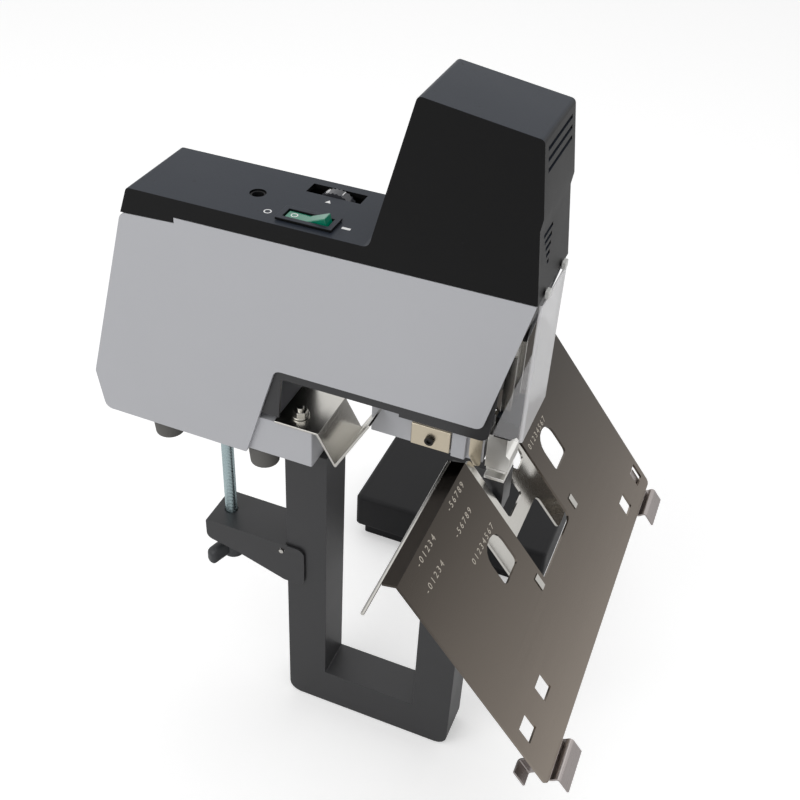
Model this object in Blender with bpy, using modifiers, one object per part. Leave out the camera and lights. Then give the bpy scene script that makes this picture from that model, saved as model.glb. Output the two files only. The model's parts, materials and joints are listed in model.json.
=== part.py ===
"""Electric saddle and flat stapler on a desk-edge loop frame, with its foot pedal.

Metres, +Z up. +X points to the stapling head, +Y away from the near side panel.
The origin is the middle of the loop frame's underside.
"""

import math

import bmesh
import bpy
from mathutils import Matrix, Vector

# Shared clearances and sheets
GAP = 0.0003
SLIDE_GAP = 0.0006
OVERRUN = 0.006
SHEET = 0.0015
MIRRORED = (-1, 1)

# Side panels, seen from the near side
BODY_WIDTH = 0.0546
PANEL_SHEET = 0.0022
PANEL_EDGE = 0.0008
PANEL_CORNER = 0.005
PANEL_TOP_REAR = (-0.1472, 0.3717)
PANEL_STEP_X = -0.1142
PANEL_STEP_Z = 0.3733
PANEL_STEP_RISE = 0.0032
PANEL_TOP_FRONT = (0.0814, 0.3780)
PANEL_NOSE = (0.0619, 0.2962)
PANEL_THROAT = (-0.0580, 0.2962)
PANEL_FOOT = (-0.0783, 0.2302)
PANEL_HEEL = (-0.1750, 0.2310)
PANEL_BACK = (-0.1790, 0.2580)

# Loop frame of square tube
TUBE_DEPTH = 0.0278
COLUMN_WIDTH = 0.0279
UPRIGHT_WIDTH = 0.0268
BAR_HEIGHT = 0.0320
LOOP_LENGTH = 0.1203
UPRIGHT_TOP_Z = 0.2240
TUBE_CORNER = 0.0085
TUBE_EDGE = 0.0030

# Base tray under the body
TRAY_FRONT_X = -0.0366
TRAY_DECK_REAR_X = -0.0760
TRAY_TOP_Z = 0.2574
TRAY_WALL_TOP_Z = 0.2610
TRAY_HEEL_CLEARANCE = 0.0040
TRAY_EDGE = 0.0010

# Rubber feet
FOOT_RADIUS = 0.0100
FOOT_HEIGHT = 0.0142
FOOT_TIP_SHARE = 0.88
FOOT_FRONT_X = -0.0730
FOOT_REAR_X = -0.1390
FOOT_SPREAD = 0.0145

# Head frame, the black channel inside the panels
HEAD_FRAME_LOWER_Z = 0.2872
HEAD_FRAME_TOP_Z = 0.3640
HEAD_FRAME_FRONT_X = 0.0652
HEAD_FRAME_FRONT_TOP_X = 0.0720
HEAD_FRAME_THROAT_X = -0.0555
HEAD_FRAME_REAR_X = -0.1540
HEAD_FRAME_REAR_TOP_X = -0.1290
HEAD_FRAME_SHEET = 0.0020
HEAD_FRAME_STEP_X = 0.0150
HEAD_FRAME_STEP = 0.0020

# Top cover: the low deck and the tall tower
DECK_Z = 0.3875
DECK_REAR_X = -0.1415
TOWER_REAR_X = -0.0048
TOWER_TOP_REAR = (0.0152, 0.4674)
TOWER_TOP_FRONT = (0.0740, 0.4591)
TOWER_STEP_Z = 0.4230
TOWER_STEP_HEIGHT = 0.0065
TOWER_STEP = 0.0018
TOWER_LIP = (0.0785, 0.4230)
TOWER_FRONT = (0.0817, 0.3784)
TOWER_TOP_WIDTH = 0.0510
COVER_WALL = 0.0026
COVER_ROUND = 0.0026
TOWER_FOOT_ROUND = 0.0040
VENT_TOP_Z = 0.4530
VENT_PITCH = 0.0050
VENT_HEIGHT = 0.0020
VENT_LENGTH = 0.0400
VENT_COUNT = 3
LOUVRE_TOP_Z = 0.4105
LOUVRE_COUNT = 5
LOUVRE_LENGTH = 0.0150
LOUVRE_Y = -0.0120

# Power rocker and its bezel
SWITCH_X = -0.0422
SWITCH_Y = -0.0160
BEZEL_LENGTH = 0.0310
BEZEL_WIDTH = 0.0140
BEZEL_LIP = 0.0014
BEZEL_RIM = 0.0022
BEZEL_DEPTH = 0.0145
BEZEL_FLOOR = 0.0020
ROCKER_GAP = 0.0005
ROCKER_RAISED = 0.0056
ROCKER_TAPER = 0.0016
ROCKER_SHOULDER = 0.0005
ROCKER_SKIRT = 0.0030

# Pedal jack
JACK_X = -0.0783
JACK_Y = -0.0015
JACK_HOLE_RADIUS = 0.0045
JACK_BORE_RADIUS = 0.0032
JACK_SUNK = 0.0008
JACK_LENGTH = 0.0130

# Stapling force wheel and the potentiometer that it turns
WHEEL_X = -0.0415
WHEEL_Y = 0.0165
WHEEL_RADIUS = 0.0115
WHEEL_THICKNESS = 0.0058
WHEEL_RISE = 0.0014
WHEEL_RIBS = 30
WHEEL_RIB_DEPTH = 0.0006
WHEEL_SHAFT_RADIUS = 0.0030
WHEEL_SLOT_LENGTH = 0.0310
WHEEL_SLOT_WIDTH = 0.0100
POT_LENGTH = 0.0150
POT_WIDTH = 0.0070
POT_TOP_CLEARANCE = 0.0010

# Control board on the head frame
BOARD_REAR_X = -0.1220
BOARD_FRONT_X = -0.0130
BOARD_NEAR_Y = -0.0205
BOARD_FAR_Y = 0.0120
BOARD_THICKNESS = 0.0016

# Solenoid in the tower
SOLENOID_X = 0.0420
SOLENOID_LENGTH = 0.0460
SOLENOID_WIDTH = 0.0400
SOLENOID_HEIGHT = 0.0660
SOLENOID_IRON = 0.0040
COIL_RADIUS = 0.0170
COIL_FLANGE_RADIUS = 0.0185
COIL_FLANGE = 0.0022
PLUNGER_RADIUS = 0.0068
PLUNGER_CLEARANCE = 0.0008
PLUNGER_HEAD_RADIUS = 0.0105
PLUNGER_HEAD = 0.0040
PLUNGER_FOOT_Z = 0.3566
SPRING_LENGTH = 0.0190
SPRING_WIRE = 0.0012

# Driver
YOKE_THICKNESS = 0.0080
YOKE_WIDTH = 0.0140
YOKE_TAIL = 0.0070
BLADE_X = 0.0690
BLADE_THICKNESS = 0.0012
BLADE_WIDTH = 0.0128
BLADE_TIP_Z = 0.2650
GUIDE_TOP_Z = 0.3335
GUIDE_WIDTH = 0.0180
GUIDE_DEPTH = 0.0056
HOUSING_LOWER_Z = 0.2830
HOUSING_TOP_Z = 0.2966
HOUSING_REAR_X = 0.0655
HOUSING_FRONT_X = 0.0785
HOUSING_WIDTH = 0.0270
HOUSING_CHIN = 0.0040

# Covers of the head's open front
FRONT_COVER_TOP_Z = 0.3765
FRONT_COVER_LOWER_Z = 0.3480
FRONT_PLATE_X = 0.0600
FRONT_PLATE_LOWER_Z = 0.2985
FRONT_PLATE_TOP_Z = 0.3320

# Magazine under the head
RAIL_LOWER_Z = 0.2587
RAIL_TOP_Z = 0.2800
RAIL_WIDTH = 0.0176
RAIL_REAR_X = -0.0070
RAIL_FRONT_X = 0.0600
RAIL_WALL = 0.0012
RAIL_REAR_WALL = 0.0020
BLOCK_REAR_X = 0.0180
BLOCK_FRONT_X = 0.0410
BLOCK_PLATE = 0.0022
BLOCK_LOWER_Z = 0.2600
BLOCK_TOP_Z = 0.2745
SCREW_X = 0.0294
SCREW_Z = 0.2660
SCREW_RADIUS = 0.00275
SCREW_HEAD = 0.0018
SOCKET_RADIUS = 0.0014
CAP_REAR_X = 0.0420
CAP_FRONT_X = 0.0500
LEAF_REAR_X = 0.0520
LEAF_FRONT_X = 0.0590
LEAF_LOWER_Z = 0.2560
LEAF_THICKNESS = 0.0008
NOSE_REAR_X = 0.0615
NOSE_FRONT_X = 0.0750
NOSE_LOWER_Z = 0.2572
NOSE_SHELF_Z = 0.2662
NOSE_TOP_Z = 0.2800
NOSE_WIDTH = 0.0182
NOSE_SLOT_LENGTH = 0.0024
PRESS_PLATE_THICKNESS = 0.0016
PRESS_PLATE_REAR_X = 0.0625
PRESS_PLATE_FRONT_X = 0.0738
PUSHER_LENGTH = 0.0120
PUSHER_FRONT_X = 0.0580
PUSHER_SPRING_RADIUS = 0.0018

# Anvil on the loop's upright
ANVIL_TOP_Z = 0.2506
ANVIL_THICKNESS = 0.0022
ANVIL_REAR_X = 0.0618
ANVIL_FRONT_X = 0.0736
ANVIL_WIDTH = 0.0180
POST_REAR_X = 0.0380
POST_NECK_X = 0.0585
POST_FRONT_X = 0.0740
POST_KNEE_Z = 0.2385
POST_WIDTH = 0.0180

# Saddle table, drawn flat about its pivot
TABLE_TILT = 51.0
PIVOT_X = 0.0660
PIVOT_Z = 0.2317
TABLE_ABOVE_PIVOT = 0.0183
TABLE_BEHIND_PIVOT = 0.0388
TABLE_SHEET = 0.0015
TABLE_WIDTH = 0.2503
TABLE_LENGTH = 0.1389
TABLE_CORNER = 0.0030
RIDGE_FLANGE = 0.0075
RIDGE_FLANGE_TURN = 62.0
FLANGE_SHEET_SHARE = 0.96
WINDOW_NEAR_Y = -0.0294
WINDOW_FAR_Y = 0.0247
WINDOW_LENGTH = 0.0845
WINDOW_CORNER = 0.0050
HOLE_INNER = 0.0397
HOLE_OUTER = 0.0603
HOLE_START = 0.0370
HOLE_END = 0.0610
HOLE_ROUND_SHARE = 0.45
TAB_INNER = 0.0330
TAB_OUTER = 0.0380
TAB_START = 0.0770
TAB_END = 0.0860
TAB_RISE = 0.0006
STOP_SLOT = 0.0108
NEAR_SLOTS = (-0.1117, -0.0840)
NEAR_SLOT_START = 0.1066
FAR_SLOTS = (0.0841, 0.1152)
FAR_SLOT_START = 0.1195
BRACKET_BELOW = 0.0100
BRACKET_HALF_WIDTH = 0.0400
BRACKET_START = 0.0080
BRACKET_LOWER = 0.0620
BRACKET_END = 0.0885
BRACKET_ARM_INNER = 0.0225
BRACKET_CORNER = 0.0050
BRACKET_HOLE_INNER = 0.0185
BRACKET_HOLE_OUTER = 0.0340
BRACKET_HOLE_START = 0.0290
BRACKET_HOLE_END = 0.0420
SADDLE_SLOT_HALF = 0.0116
SADDLE_SLOT_END = 0.0520
EAR_RADIUS = 0.0052
EAR_ROUND_SHARE = 0.98
PIVOT_PIN_RADIUS = 0.0025
PIVOT_PIN_HEAD = 0.0012
PIVOT_HEAD_RADIUS = 0.0040
FOLD_ROD_RADIUS = 0.0010
FOLD_ROD_LENGTH = 0.2900

# Paper stops at the table's lower corners
STOP_INNER = 0.0950
STOP_OUTER = 0.1210
STOP_LAP = 0.0070
STOP_RISE = 0.0105
STOP_LENGTH = 0.0120
STOP_SHEET = 0.0012

# Rear paper stop
REAR_STOP_NEAR_Y = -0.0260
REAR_STOP_FAR_Y = 0.0120
REAR_STOP_REAR_X = -0.0600
REAR_STOP_BEND_X = -0.0330
REAR_STOP_LOW = (-0.0216, 0.2390)
REAR_STOP_TIP = (-0.0020, 0.2760)
REAR_STOP_SHEET = 0.0014
STUD_X = -0.0485
STUD_Y = -0.0150
STUD_RADIUS = 0.0020
NUT_RADIUS = 0.0042
NUT_HEIGHT = 0.0034
WASHER_RADIUS = 0.0055
WASHER_HEIGHT = 0.0008
STUD_PROUD = 0.0020

# Clamp
ROD_X = -0.1079
ROD_RADIUS = 0.0040
ROD_FOOT_Z = 0.0820
ROD_NUT_RADIUS = 0.0072
ROD_NUT_HEIGHT = 0.0060
ARM_TOP_Z = 0.1480
ARM_REAR_X = -0.1185
ARM_FRONT_X = -0.0470
ARM_SHEET = 0.0013
ARM_REAR_DROP = 0.0160
ARM_MID_X = -0.0970
ARM_MID_DROP = 0.0205
ARM_FRONT_DROP = 0.0320
CLAMP_PIN_X = -0.0628
CLAMP_PIN_DROP = 0.0052
CLAMP_PIN_RADIUS = 0.0016
CLAMP_PIN_PROUD = 0.0012
WING_HUB_RADIUS = 0.0085
WING_HUB_HEIGHT = 0.0480
WING_SPAN = 0.0460
WING_THICKNESS = 0.0060
WING_HEIGHT = 0.0120
WING_TURN = 35.0

# Guard in front of the head
GUARD_HINGE = (0.0830, 0.3762)
GUARD_LEAN = 2.0
GUARD_THICKNESS = 0.0015
GUARD_TOP_HALF = 0.0225
GUARD_LENGTH = 0.0880
GUARD_CHAMFER = 0.0140
CLIP_Y = (-0.0150, 0.0150)
CLIP_WIDTH = 0.0050
CLIP_HEIGHT = 0.0040
CLIP_DEPTH = 0.0022

# Rear cover and mains inlet
REAR_COVER_LOWER_Z = 0.2640
INLET_WIDTH = 0.0280
INLET_HEIGHT = 0.0200
INLET_DEPTH = 0.0160
INLET_FLANGE = 0.0020
INLET_RIM = 0.0035
INLET_MID_SHARE = 0.32
INLET_POCKET = 0.0110

# Foot pedal, standing apart
PEDAL_NEAR_Y = 0.1480
PEDAL_LENGTH = 0.1620
PEDAL_DEPTH = 0.0900
PEDAL_BASE_HEIGHT = 0.0200
PEDAL_SKIRT_Z = 0.0120
PEDAL_TOP_Z = 0.0448
PEDAL_BASE_INSET = 0.0032
PEDAL_WALL = 0.0030
PEDAL_ROUND = 0.0036
PEDAL_LUG = 0.0100
PEDAL_HINGE_Z = 0.0290
PEDAL_PIN = 0.0025
PEDAL_SWITCH_SIZE = (0.0200, 0.0120, 0.0046)

# Finishes: colour, roughness, metallic
FINISHES = {
    "panel_grey": ((0.42, 0.43, 0.45), 0.45, 0.0),
    "cover_black": ((0.020, 0.022, 0.027), 0.40, 0.0),
    "frame_black": ((0.022, 0.022, 0.024), 0.45, 0.0),
    "plated": ((0.62, 0.61, 0.58), 0.28, 1.0),
    "table_plate": ((0.20, 0.18, 0.16), 0.22, 1.0),
    "zinc": ((0.42, 0.55, 0.57), 0.32, 1.0),
    "brass_tone": ((0.62, 0.54, 0.42), 0.35, 1.0),
    "rubber": ((0.12, 0.12, 0.12), 0.80, 0.0),
    "rocker_green": ((0.0, 0.42, 0.26), 0.20, 0.0),
    "wheel_clear": ((0.55, 0.58, 0.60), 0.25, 0.0),
    "clear": ((0.85, 0.88, 0.90), 0.08, 0.0),
    "white_plastic": ((0.85, 0.85, 0.84), 0.40, 0.0),
    "dark_plastic": ((0.015, 0.015, 0.016), 0.50, 0.0),
    "iron": ((0.30, 0.30, 0.31), 0.50, 1.0),
    "copper": ((0.55, 0.25, 0.12), 0.40, 1.0),
    "board_green": ((0.03, 0.20, 0.09), 0.50, 0.0),
}

# Values that several pieces share
HALF_BODY = BODY_WIDTH / 2
HALF_INSIDE = HALF_BODY - PANEL_SHEET - GAP
HALF_LOOP = LOOP_LENGTH / 2
COLUMN_REAR_X = -HALF_LOOP
COLUMN_FRONT_X = COLUMN_REAR_X + COLUMN_WIDTH
UPRIGHT_REAR_X = HALF_LOOP - UPRIGHT_WIDTH
HALF_TUBE = TUBE_DEPTH / 2
TRAY_BASE_Z = PANEL_HEEL[1]
ANVIL_BASE_Z = ANVIL_TOP_Z - ANVIL_THICKNESS
COIL_BASE_Z = HEAD_FRAME_TOP_Z + GAP
SOLENOID_TOP_Z = COIL_BASE_Z + SOLENOID_HEIGHT
ALONG_Y = (math.pi / 2, 0, 0)
ALONG_X = (math.pi / 2, 0, math.pi / 2)


def collection(name):
    """A collection of the scene, made when it is first asked for."""
    found = bpy.data.collections.get(name)
    if found is None:
        found = bpy.data.collections.new(name)
        bpy.context.scene.collection.children.link(found)
    return found


def finish(name):
    """The Principled material of one of the finishes above."""
    found = bpy.data.materials.get(name)
    if found is None:
        colour, roughness, metallic = FINISHES[name]
        found = bpy.data.materials.new(name)
        found.use_nodes = True
        found.diffuse_color = (*colour, 1)
        shader = found.node_tree.nodes["Principled BSDF"]
        shader.inputs["Base Color"].default_value = (*colour, 1)
        shader.inputs["Roughness"].default_value = roughness
        shader.inputs["Metallic"].default_value = metallic
    return found


def added(name, mesh, look, place=(0, 0, 0), turn=(0, 0, 0)):
    """Put a mesh in the scene, as a part with a finish or, with look None, as a cutter."""
    obj = bpy.data.objects.new(name, mesh)
    obj.location = place
    obj.rotation_euler = turn
    if look is None:
        collection("cutters").objects.link(obj)
        obj.hide_render = True
        obj.display_type = "WIRE"
    else:
        collection("electric_stapler").objects.link(obj)
        mesh.materials.clear()
        mesh.materials.append(finish(look))
    return obj


def block(name, low, high, look=None, edge=0, turn=(0, 0, 0)):
    """A box between two corners, its origin in its middle, with bevelled edges if asked."""
    low, high = Vector(low), Vector(high)
    mesh = bpy.data.meshes.new(name)
    shape = bmesh.new()
    bmesh.ops.create_cube(shape, size=1)
    bmesh.ops.scale(shape, vec=high - low, verts=shape.verts)
    shape.to_mesh(mesh)
    shape.free()
    obj = added(name, mesh, look, (low + high) / 2, turn)
    if edge:
        rounded_edges(obj, edge)
    return obj


def rounded_edges(obj, width, segments=2, angle=50):
    """Bevel the edges that are sharper than the angle."""
    bevel = obj.modifiers.new("edges", "BEVEL")
    bevel.width = width
    bevel.segments = segments
    bevel.limit_method = "ANGLE"
    bevel.angle_limit = math.radians(angle)
    bevel.use_clamp_overlap = True


def filleted(corners, steps=4):
    """Outline points from (x, y) or (x, y, radius) corners, each radius drawn as an arc."""
    points = []
    count = len(corners)
    for index, corner in enumerate(corners):
        here = Vector(corner[:2])
        radius = corner[2] if len(corner) > 2 else 0
        if not radius:
            points.append(here)
            continue
        back = (Vector(corners[index - 1][:2]) - here).normalized()
        ahead = (Vector(corners[(index + 1) % count][:2]) - here).normalized()
        half = back.angle(ahead) / 2
        centre = here + (back + ahead).normalized() * radius / math.sin(half)
        start = here + back * radius / math.tan(half) - centre
        end = here + ahead * radius / math.tan(half) - centre
        swing = start.angle_signed(end)
        for step in range(steps + 1):
            points.append(centre + Matrix.Rotation(-swing * step / steps, 2) @ start)
    return points


def circle(radius, centre=(0, 0), sides=24):
    """Points of a circle."""
    turns = [2 * math.pi * side / sides for side in range(sides)]
    return [
        Vector((centre[0] + radius * math.cos(a), centre[1] + radius * math.sin(a)))
        for a in turns
    ]


def rectangle(x0, x1, y0, y1):
    """Corner points of a rectangle."""
    return [Vector((x0, y0)), Vector((x1, y0)), Vector((x1, y1)), Vector((x0, y1))]


def moved(points, dx, dy=0):
    """The same outline points, shifted."""
    return [Vector((p[0] + dx, p[1] + dy)) for p in points]


def sheet(name, outlines, thickness, look=None, place=(0, 0, 0), turn=(0, 0, 0)):
    """A flat piece: a filled 2D curve, its holes after its outline, extruded both ways."""
    curve = bpy.data.curves.new(name, "CURVE")
    curve.dimensions = "2D"
    curve.fill_mode = "BOTH"
    curve.extrude = thickness / 2
    for points in outlines:
        spline = curve.splines.new("POLY")
        spline.points.add(len(points) - 1)
        for point, at in zip(spline.points, points):
            point.co = (at[0], at[1], 0, 1)
        spline.use_cyclic_u = True
    return meshed(name, curve, look, place, turn)


def rod(name, points, radius, look=None, resolution=3, place=(0, 0, 0), turn=(0, 0, 0)):
    """A round bar through the points, with filled ends."""
    curve = bpy.data.curves.new(name, "CURVE")
    curve.dimensions = "3D"
    curve.bevel_depth = radius
    curve.bevel_resolution = resolution
    curve.use_fill_caps = True
    spline = curve.splines.new("POLY")
    spline.points.add(len(points) - 1)
    for point, at in zip(spline.points, points):
        point.co = (*at, 1)
    return meshed(name, curve, look, place, turn)


def meshed(name, curve, look, place, turn):
    """The mesh of a curve, its caps welded, in the curve's place."""
    guide = bpy.data.objects.new(name + "_curve", curve)
    guide.location = place
    guide.rotation_euler = turn
    bpy.context.scene.collection.objects.link(guide)
    graph = bpy.context.evaluated_depsgraph_get()
    mesh = bpy.data.meshes.new_from_object(guide.evaluated_get(graph))
    world = guide.matrix_world.copy()
    bpy.data.objects.remove(guide)
    shape = bmesh.new()
    shape.from_mesh(mesh)
    bmesh.ops.remove_doubles(shape, verts=shape.verts, dist=1e-6)
    bmesh.ops.recalc_face_normals(shape, faces=shape.faces)
    shape.to_mesh(mesh)
    shape.free()
    mesh.name = name
    obj = added(name, mesh, look)
    obj.matrix_world = world
    return obj


def turned(name, profile, look=None, place=(0, 0, 0), turn=(0, 0, 0), sides=24):
    """A turned piece: (radius, height) points down its outer side, spun about Z."""
    mesh = bpy.data.meshes.new(name)
    points = [(radius, 0, height) for radius, height in profile]
    count = len(points)
    ring = profile[0][0] > 0
    edges = [(i, (i + 1) % count) for i in range(count if ring else count - 1)]
    mesh.from_pydata(points, edges, [])
    obj = added(name, mesh, look, place, turn)
    screw = obj.modifiers.new("turn", "SCREW")
    screw.steps = sides
    screw.render_steps = sides
    screw.use_smooth_shade = look is not None
    screw.use_merge_vertices = True
    screw.merge_threshold = 1e-5
    return obj


def boolean(obj, tool, operation):
    """Cut, join or intersect with the exact solver."""
    modifier = obj.modifiers.new(operation.lower(), "BOOLEAN")
    modifier.operation = operation
    modifier.solver = "EXACT"
    modifier.object = tool


def cut(obj, *tools):
    """Cut the tools out of the object."""
    for tool in tools:
        boolean(obj, tool, "DIFFERENCE")


def joined(obj, *tools):
    """Join the tools to the object as one body."""
    for tool in tools:
        boolean(obj, tool, "UNION")


def pivot(name, place, turn=(0, 0, 0), parent=None):
    """An empty on a joint's axis, that carries the pieces that move with it."""
    empty = bpy.data.objects.new(name, None)
    empty.empty_display_size = FOOT_RADIUS
    collection("electric_stapler").objects.link(empty)
    empty.location = place
    empty.rotation_euler = turn
    empty.parent = parent
    bpy.context.view_layer.update()
    return empty


def carried(empty, *pieces):
    """Hand the pieces to an empty where they stand."""
    bpy.context.view_layer.update()
    for piece in pieces:
        piece.parent = empty
        piece.matrix_parent_inverse = empty.matrix_world.inverted()


def drawn_on(empty, *pieces):
    """Hand over pieces that were drawn in the empty's own axes."""
    for piece in pieces:
        piece.parent = empty


def panel_corners():
    """The side panel's corners, from its top rear corner forwards."""
    return [
        (*PANEL_TOP_REAR, PANEL_CORNER),
        (PANEL_STEP_X, PANEL_STEP_Z),
        (PANEL_STEP_X, PANEL_STEP_Z + PANEL_STEP_RISE),
        (*PANEL_TOP_FRONT, PANEL_EDGE),
        (*PANEL_NOSE, PANEL_CORNER),
        (*PANEL_THROAT, PANEL_CORNER),
        (*PANEL_FOOT, PANEL_EDGE),
        (*PANEL_HEEL, PANEL_CORNER),
        (*PANEL_BACK, PANEL_CORNER),
    ]


def side_panels():
    """Two folded and painted sheets, the same on both sides."""
    outline = filleted(panel_corners())
    for side, name in zip(MIRRORED, ("side_panel_near", "side_panel_far")):
        middle = side * (HALF_BODY - PANEL_SHEET / 2)
        panel = sheet(name, [outline], PANEL_SHEET, "panel_grey", (0, middle, 0), ALONG_Y)
        rounded_edges(panel, PANEL_EDGE, 2, 60)


def loop_frame():
    """Square tube, from the base down, forwards and up again to the anvil."""
    outer = HALF_LOOP
    top = TRAY_BASE_Z - GAP
    corners = [
        (COLUMN_REAR_X, top),
        (COLUMN_REAR_X, 0, TUBE_CORNER),
        (outer, 0, TUBE_CORNER),
        (outer, UPRIGHT_TOP_Z),
        (UPRIGHT_REAR_X, UPRIGHT_TOP_Z),
        (UPRIGHT_REAR_X, BAR_HEIGHT),
        (COLUMN_FRONT_X, BAR_HEIGHT),
        (COLUMN_FRONT_X, top),
    ]
    loop = sheet("loop_frame", [filleted(corners)], TUBE_DEPTH, "frame_black", turn=ALONG_Y)
    rounded_edges(loop, TUBE_EDGE)


def base_tray():
    """Folded tray that the loop and the feet are fixed to, closed at its front end."""
    half = HALF_INSIDE
    rear = PANEL_HEEL[0] + TRAY_HEEL_CLEARANCE
    tray = block(
        "base_tray",
        (rear, -half, TRAY_BASE_Z),
        (TRAY_FRONT_X, half, TRAY_WALL_TOP_Z),
        "panel_grey",
        TRAY_EDGE,
    )
    inner = half - SHEET
    floor = TRAY_BASE_Z + SHEET
    hollow = block(
        "tray_hollow",
        (rear + SHEET, -inner, floor),
        (TRAY_FRONT_X - SHEET, inner, TRAY_TOP_Z - SHEET),
    )
    well = block(
        "tray_well",
        (rear + SHEET, -inner, floor),
        (TRAY_DECK_REAR_X, inner, TRAY_WALL_TOP_Z + OVERRUN),
    )
    step = block(
        "tray_step",
        (TRAY_DECK_REAR_X + SHEET, -HALF_BODY, TRAY_TOP_Z),
        (TRAY_FRONT_X + OVERRUN, HALF_BODY, TRAY_WALL_TOP_Z + OVERRUN),
    )
    cut(tray, hollow, well, step)


def rubber_feet():
    """Four feet that stand on the desk."""
    profile = [
        (0, 0),
        (FOOT_RADIUS, 0),
        (FOOT_RADIUS * FOOT_TIP_SHARE, -FOOT_HEIGHT),
        (0, -FOOT_HEIGHT),
    ]
    for side, side_name in zip(MIRRORED, ("near", "far")):
        for x, end_name in ((FOOT_REAR_X, "rear"), (FOOT_FRONT_X, "front")):
            turned(
                f"rubber_foot_{end_name}_{side_name}",
                profile,
                "rubber",
                (x, side * FOOT_SPREAD, TRAY_BASE_Z - GAP),
            )


def head_frame():
    """Black channel between the panels, open below and at the front, that carries the head."""
    wall = HEAD_FRAME_SHEET
    low = HEAD_FRAME_LOWER_Z
    base = TRAY_WALL_TOP_Z + GAP
    top = HEAD_FRAME_TOP_Z
    step_z = low + HEAD_FRAME_STEP
    outer = [
        (HEAD_FRAME_REAR_X, base),
        (HEAD_FRAME_THROAT_X - wall, base),
        (HEAD_FRAME_THROAT_X, step_z),
        (HEAD_FRAME_STEP_X, step_z),
        (HEAD_FRAME_STEP_X, low),
        (HEAD_FRAME_FRONT_X, low, PANEL_CORNER),
        (HEAD_FRAME_FRONT_TOP_X, top),
        (HEAD_FRAME_REAR_TOP_X, top),
    ]
    half = HALF_INSIDE
    frame = sheet("head_frame", [filleted(outer)], 2 * half, "frame_black", turn=ALONG_Y)
    inner = [
        (HEAD_FRAME_REAR_X + wall, base - OVERRUN),
        (HEAD_FRAME_FRONT_X + OVERRUN * 4, base - OVERRUN),
        (HEAD_FRAME_FRONT_TOP_X + OVERRUN * 4, top - wall),
        (HEAD_FRAME_REAR_TOP_X + wall, top - wall),
    ]
    hollow = sheet("frame_hollow", [inner], 2 * (half - wall), turn=ALONG_Y)
    hole = PLUNGER_RADIUS + PLUNGER_CLEARANCE * 2
    shaft = turned(
        "plunger_hole",
        [(0, OVERRUN), (hole, OVERRUN), (hole, -OVERRUN), (0, -OVERRUN)],
        place=(SOLENOID_X, 0, top),
    )
    cut(frame, hollow, shaft)


def cover_corners():
    """The top cover's outline in side view."""
    lean = (TOWER_TOP_REAR[0] - TOWER_REAR_X) / (TOWER_TOP_REAR[1] - DECK_Z)
    round_off = COVER_ROUND
    lip_low = TOWER_STEP_Z - TOWER_STEP_HEIGHT
    return [
        (PANEL_TOP_REAR[0] + GAP, PANEL_TOP_REAR[1] + GAP),
        (DECK_REAR_X, DECK_Z, round_off),
        (TOWER_REAR_X, DECK_Z, TOWER_FOOT_ROUND),
        (TOWER_REAR_X + lean * (TOWER_TOP_REAR[1] - DECK_Z), TOWER_TOP_REAR[1], round_off),
        (*TOWER_TOP_FRONT, round_off),
        TOWER_LIP,
        (TOWER_LIP[0] - TOWER_STEP / 2, lip_low),
        TOWER_FRONT,
        (PANEL_STEP_X - GAP, PANEL_STEP_Z + PANEL_STEP_RISE + GAP),
        (PANEL_STEP_X - GAP, PANEL_STEP_Z + GAP),
    ]


def drafted(mesh, low, high, share):
    """Narrow a mesh drawn along its local Z between two heights of its local Y."""
    for vertex in mesh.vertices:
        rise = min(max((vertex.co.y - low) / (high - low), 0), 1)
        vertex.co.z *= 1 - (1 - share) * rise


def cover_hollow():
    """The space inside the cover, open below."""
    wall = COVER_WALL
    lean = (TOWER_TOP_REAR[0] - TOWER_REAR_X) / (TOWER_TOP_REAR[1] - DECK_Z)
    below = PANEL_STEP_Z - OVERRUN
    inner = [
        (DECK_REAR_X + wall - OVERRUN / 2, below),
        (DECK_REAR_X + wall, DECK_Z - wall),
        (TOWER_REAR_X + wall, DECK_Z - wall),
        (TOWER_TOP_REAR[0] + wall * (1 + lean), TOWER_TOP_REAR[1] - wall),
        (TOWER_TOP_FRONT[0] - wall, TOWER_TOP_FRONT[1] - wall),
        (TOWER_LIP[0] - wall - TOWER_STEP, TOWER_STEP_Z),
        (TOWER_FRONT[0] - wall - TOWER_STEP, TOWER_FRONT[1]),
        (TOWER_FRONT[0] - wall - TOWER_STEP, below),
    ]
    hollow = sheet("cover_hollow", [inner], BODY_WIDTH - 2 * wall, turn=ALONG_Y)
    draft = (TOWER_TOP_WIDTH - 2 * wall) / (BODY_WIDTH - 2 * wall)
    drafted(hollow.data, DECK_Z, TOWER_TOP_FRONT[1], draft)
    return hollow


def vents():
    """Cutters for the long vents in the tower's front and the short louvres below them."""
    reach = TOWER_LIP[0]
    depth = reach - TOWER_TOP_FRONT[0] + COVER_WALL + OVERRUN
    made = []
    for index in range(VENT_COUNT):
        z = VENT_TOP_Z - index * VENT_PITCH
        low = (reach - depth, -VENT_LENGTH / 2, z - VENT_HEIGHT / 2)
        high = (reach + OVERRUN, VENT_LENGTH / 2, z + VENT_HEIGHT / 2)
        made.append(block(f"vent_{index}", low, high))
    for index in range(LOUVRE_COUNT):
        z = LOUVRE_TOP_Z - index * VENT_HEIGHT * 2
        length = LOUVRE_LENGTH * (LOUVRE_COUNT - index) / LOUVRE_COUNT
        low = (reach - depth, LOUVRE_Y - length / 2, z - VENT_HEIGHT / 2)
        high = (reach + OVERRUN, LOUVRE_Y + length / 2, z + VENT_HEIGHT / 2)
        made.append(block(f"louvre_{index}", low, high))
    return made


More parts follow.
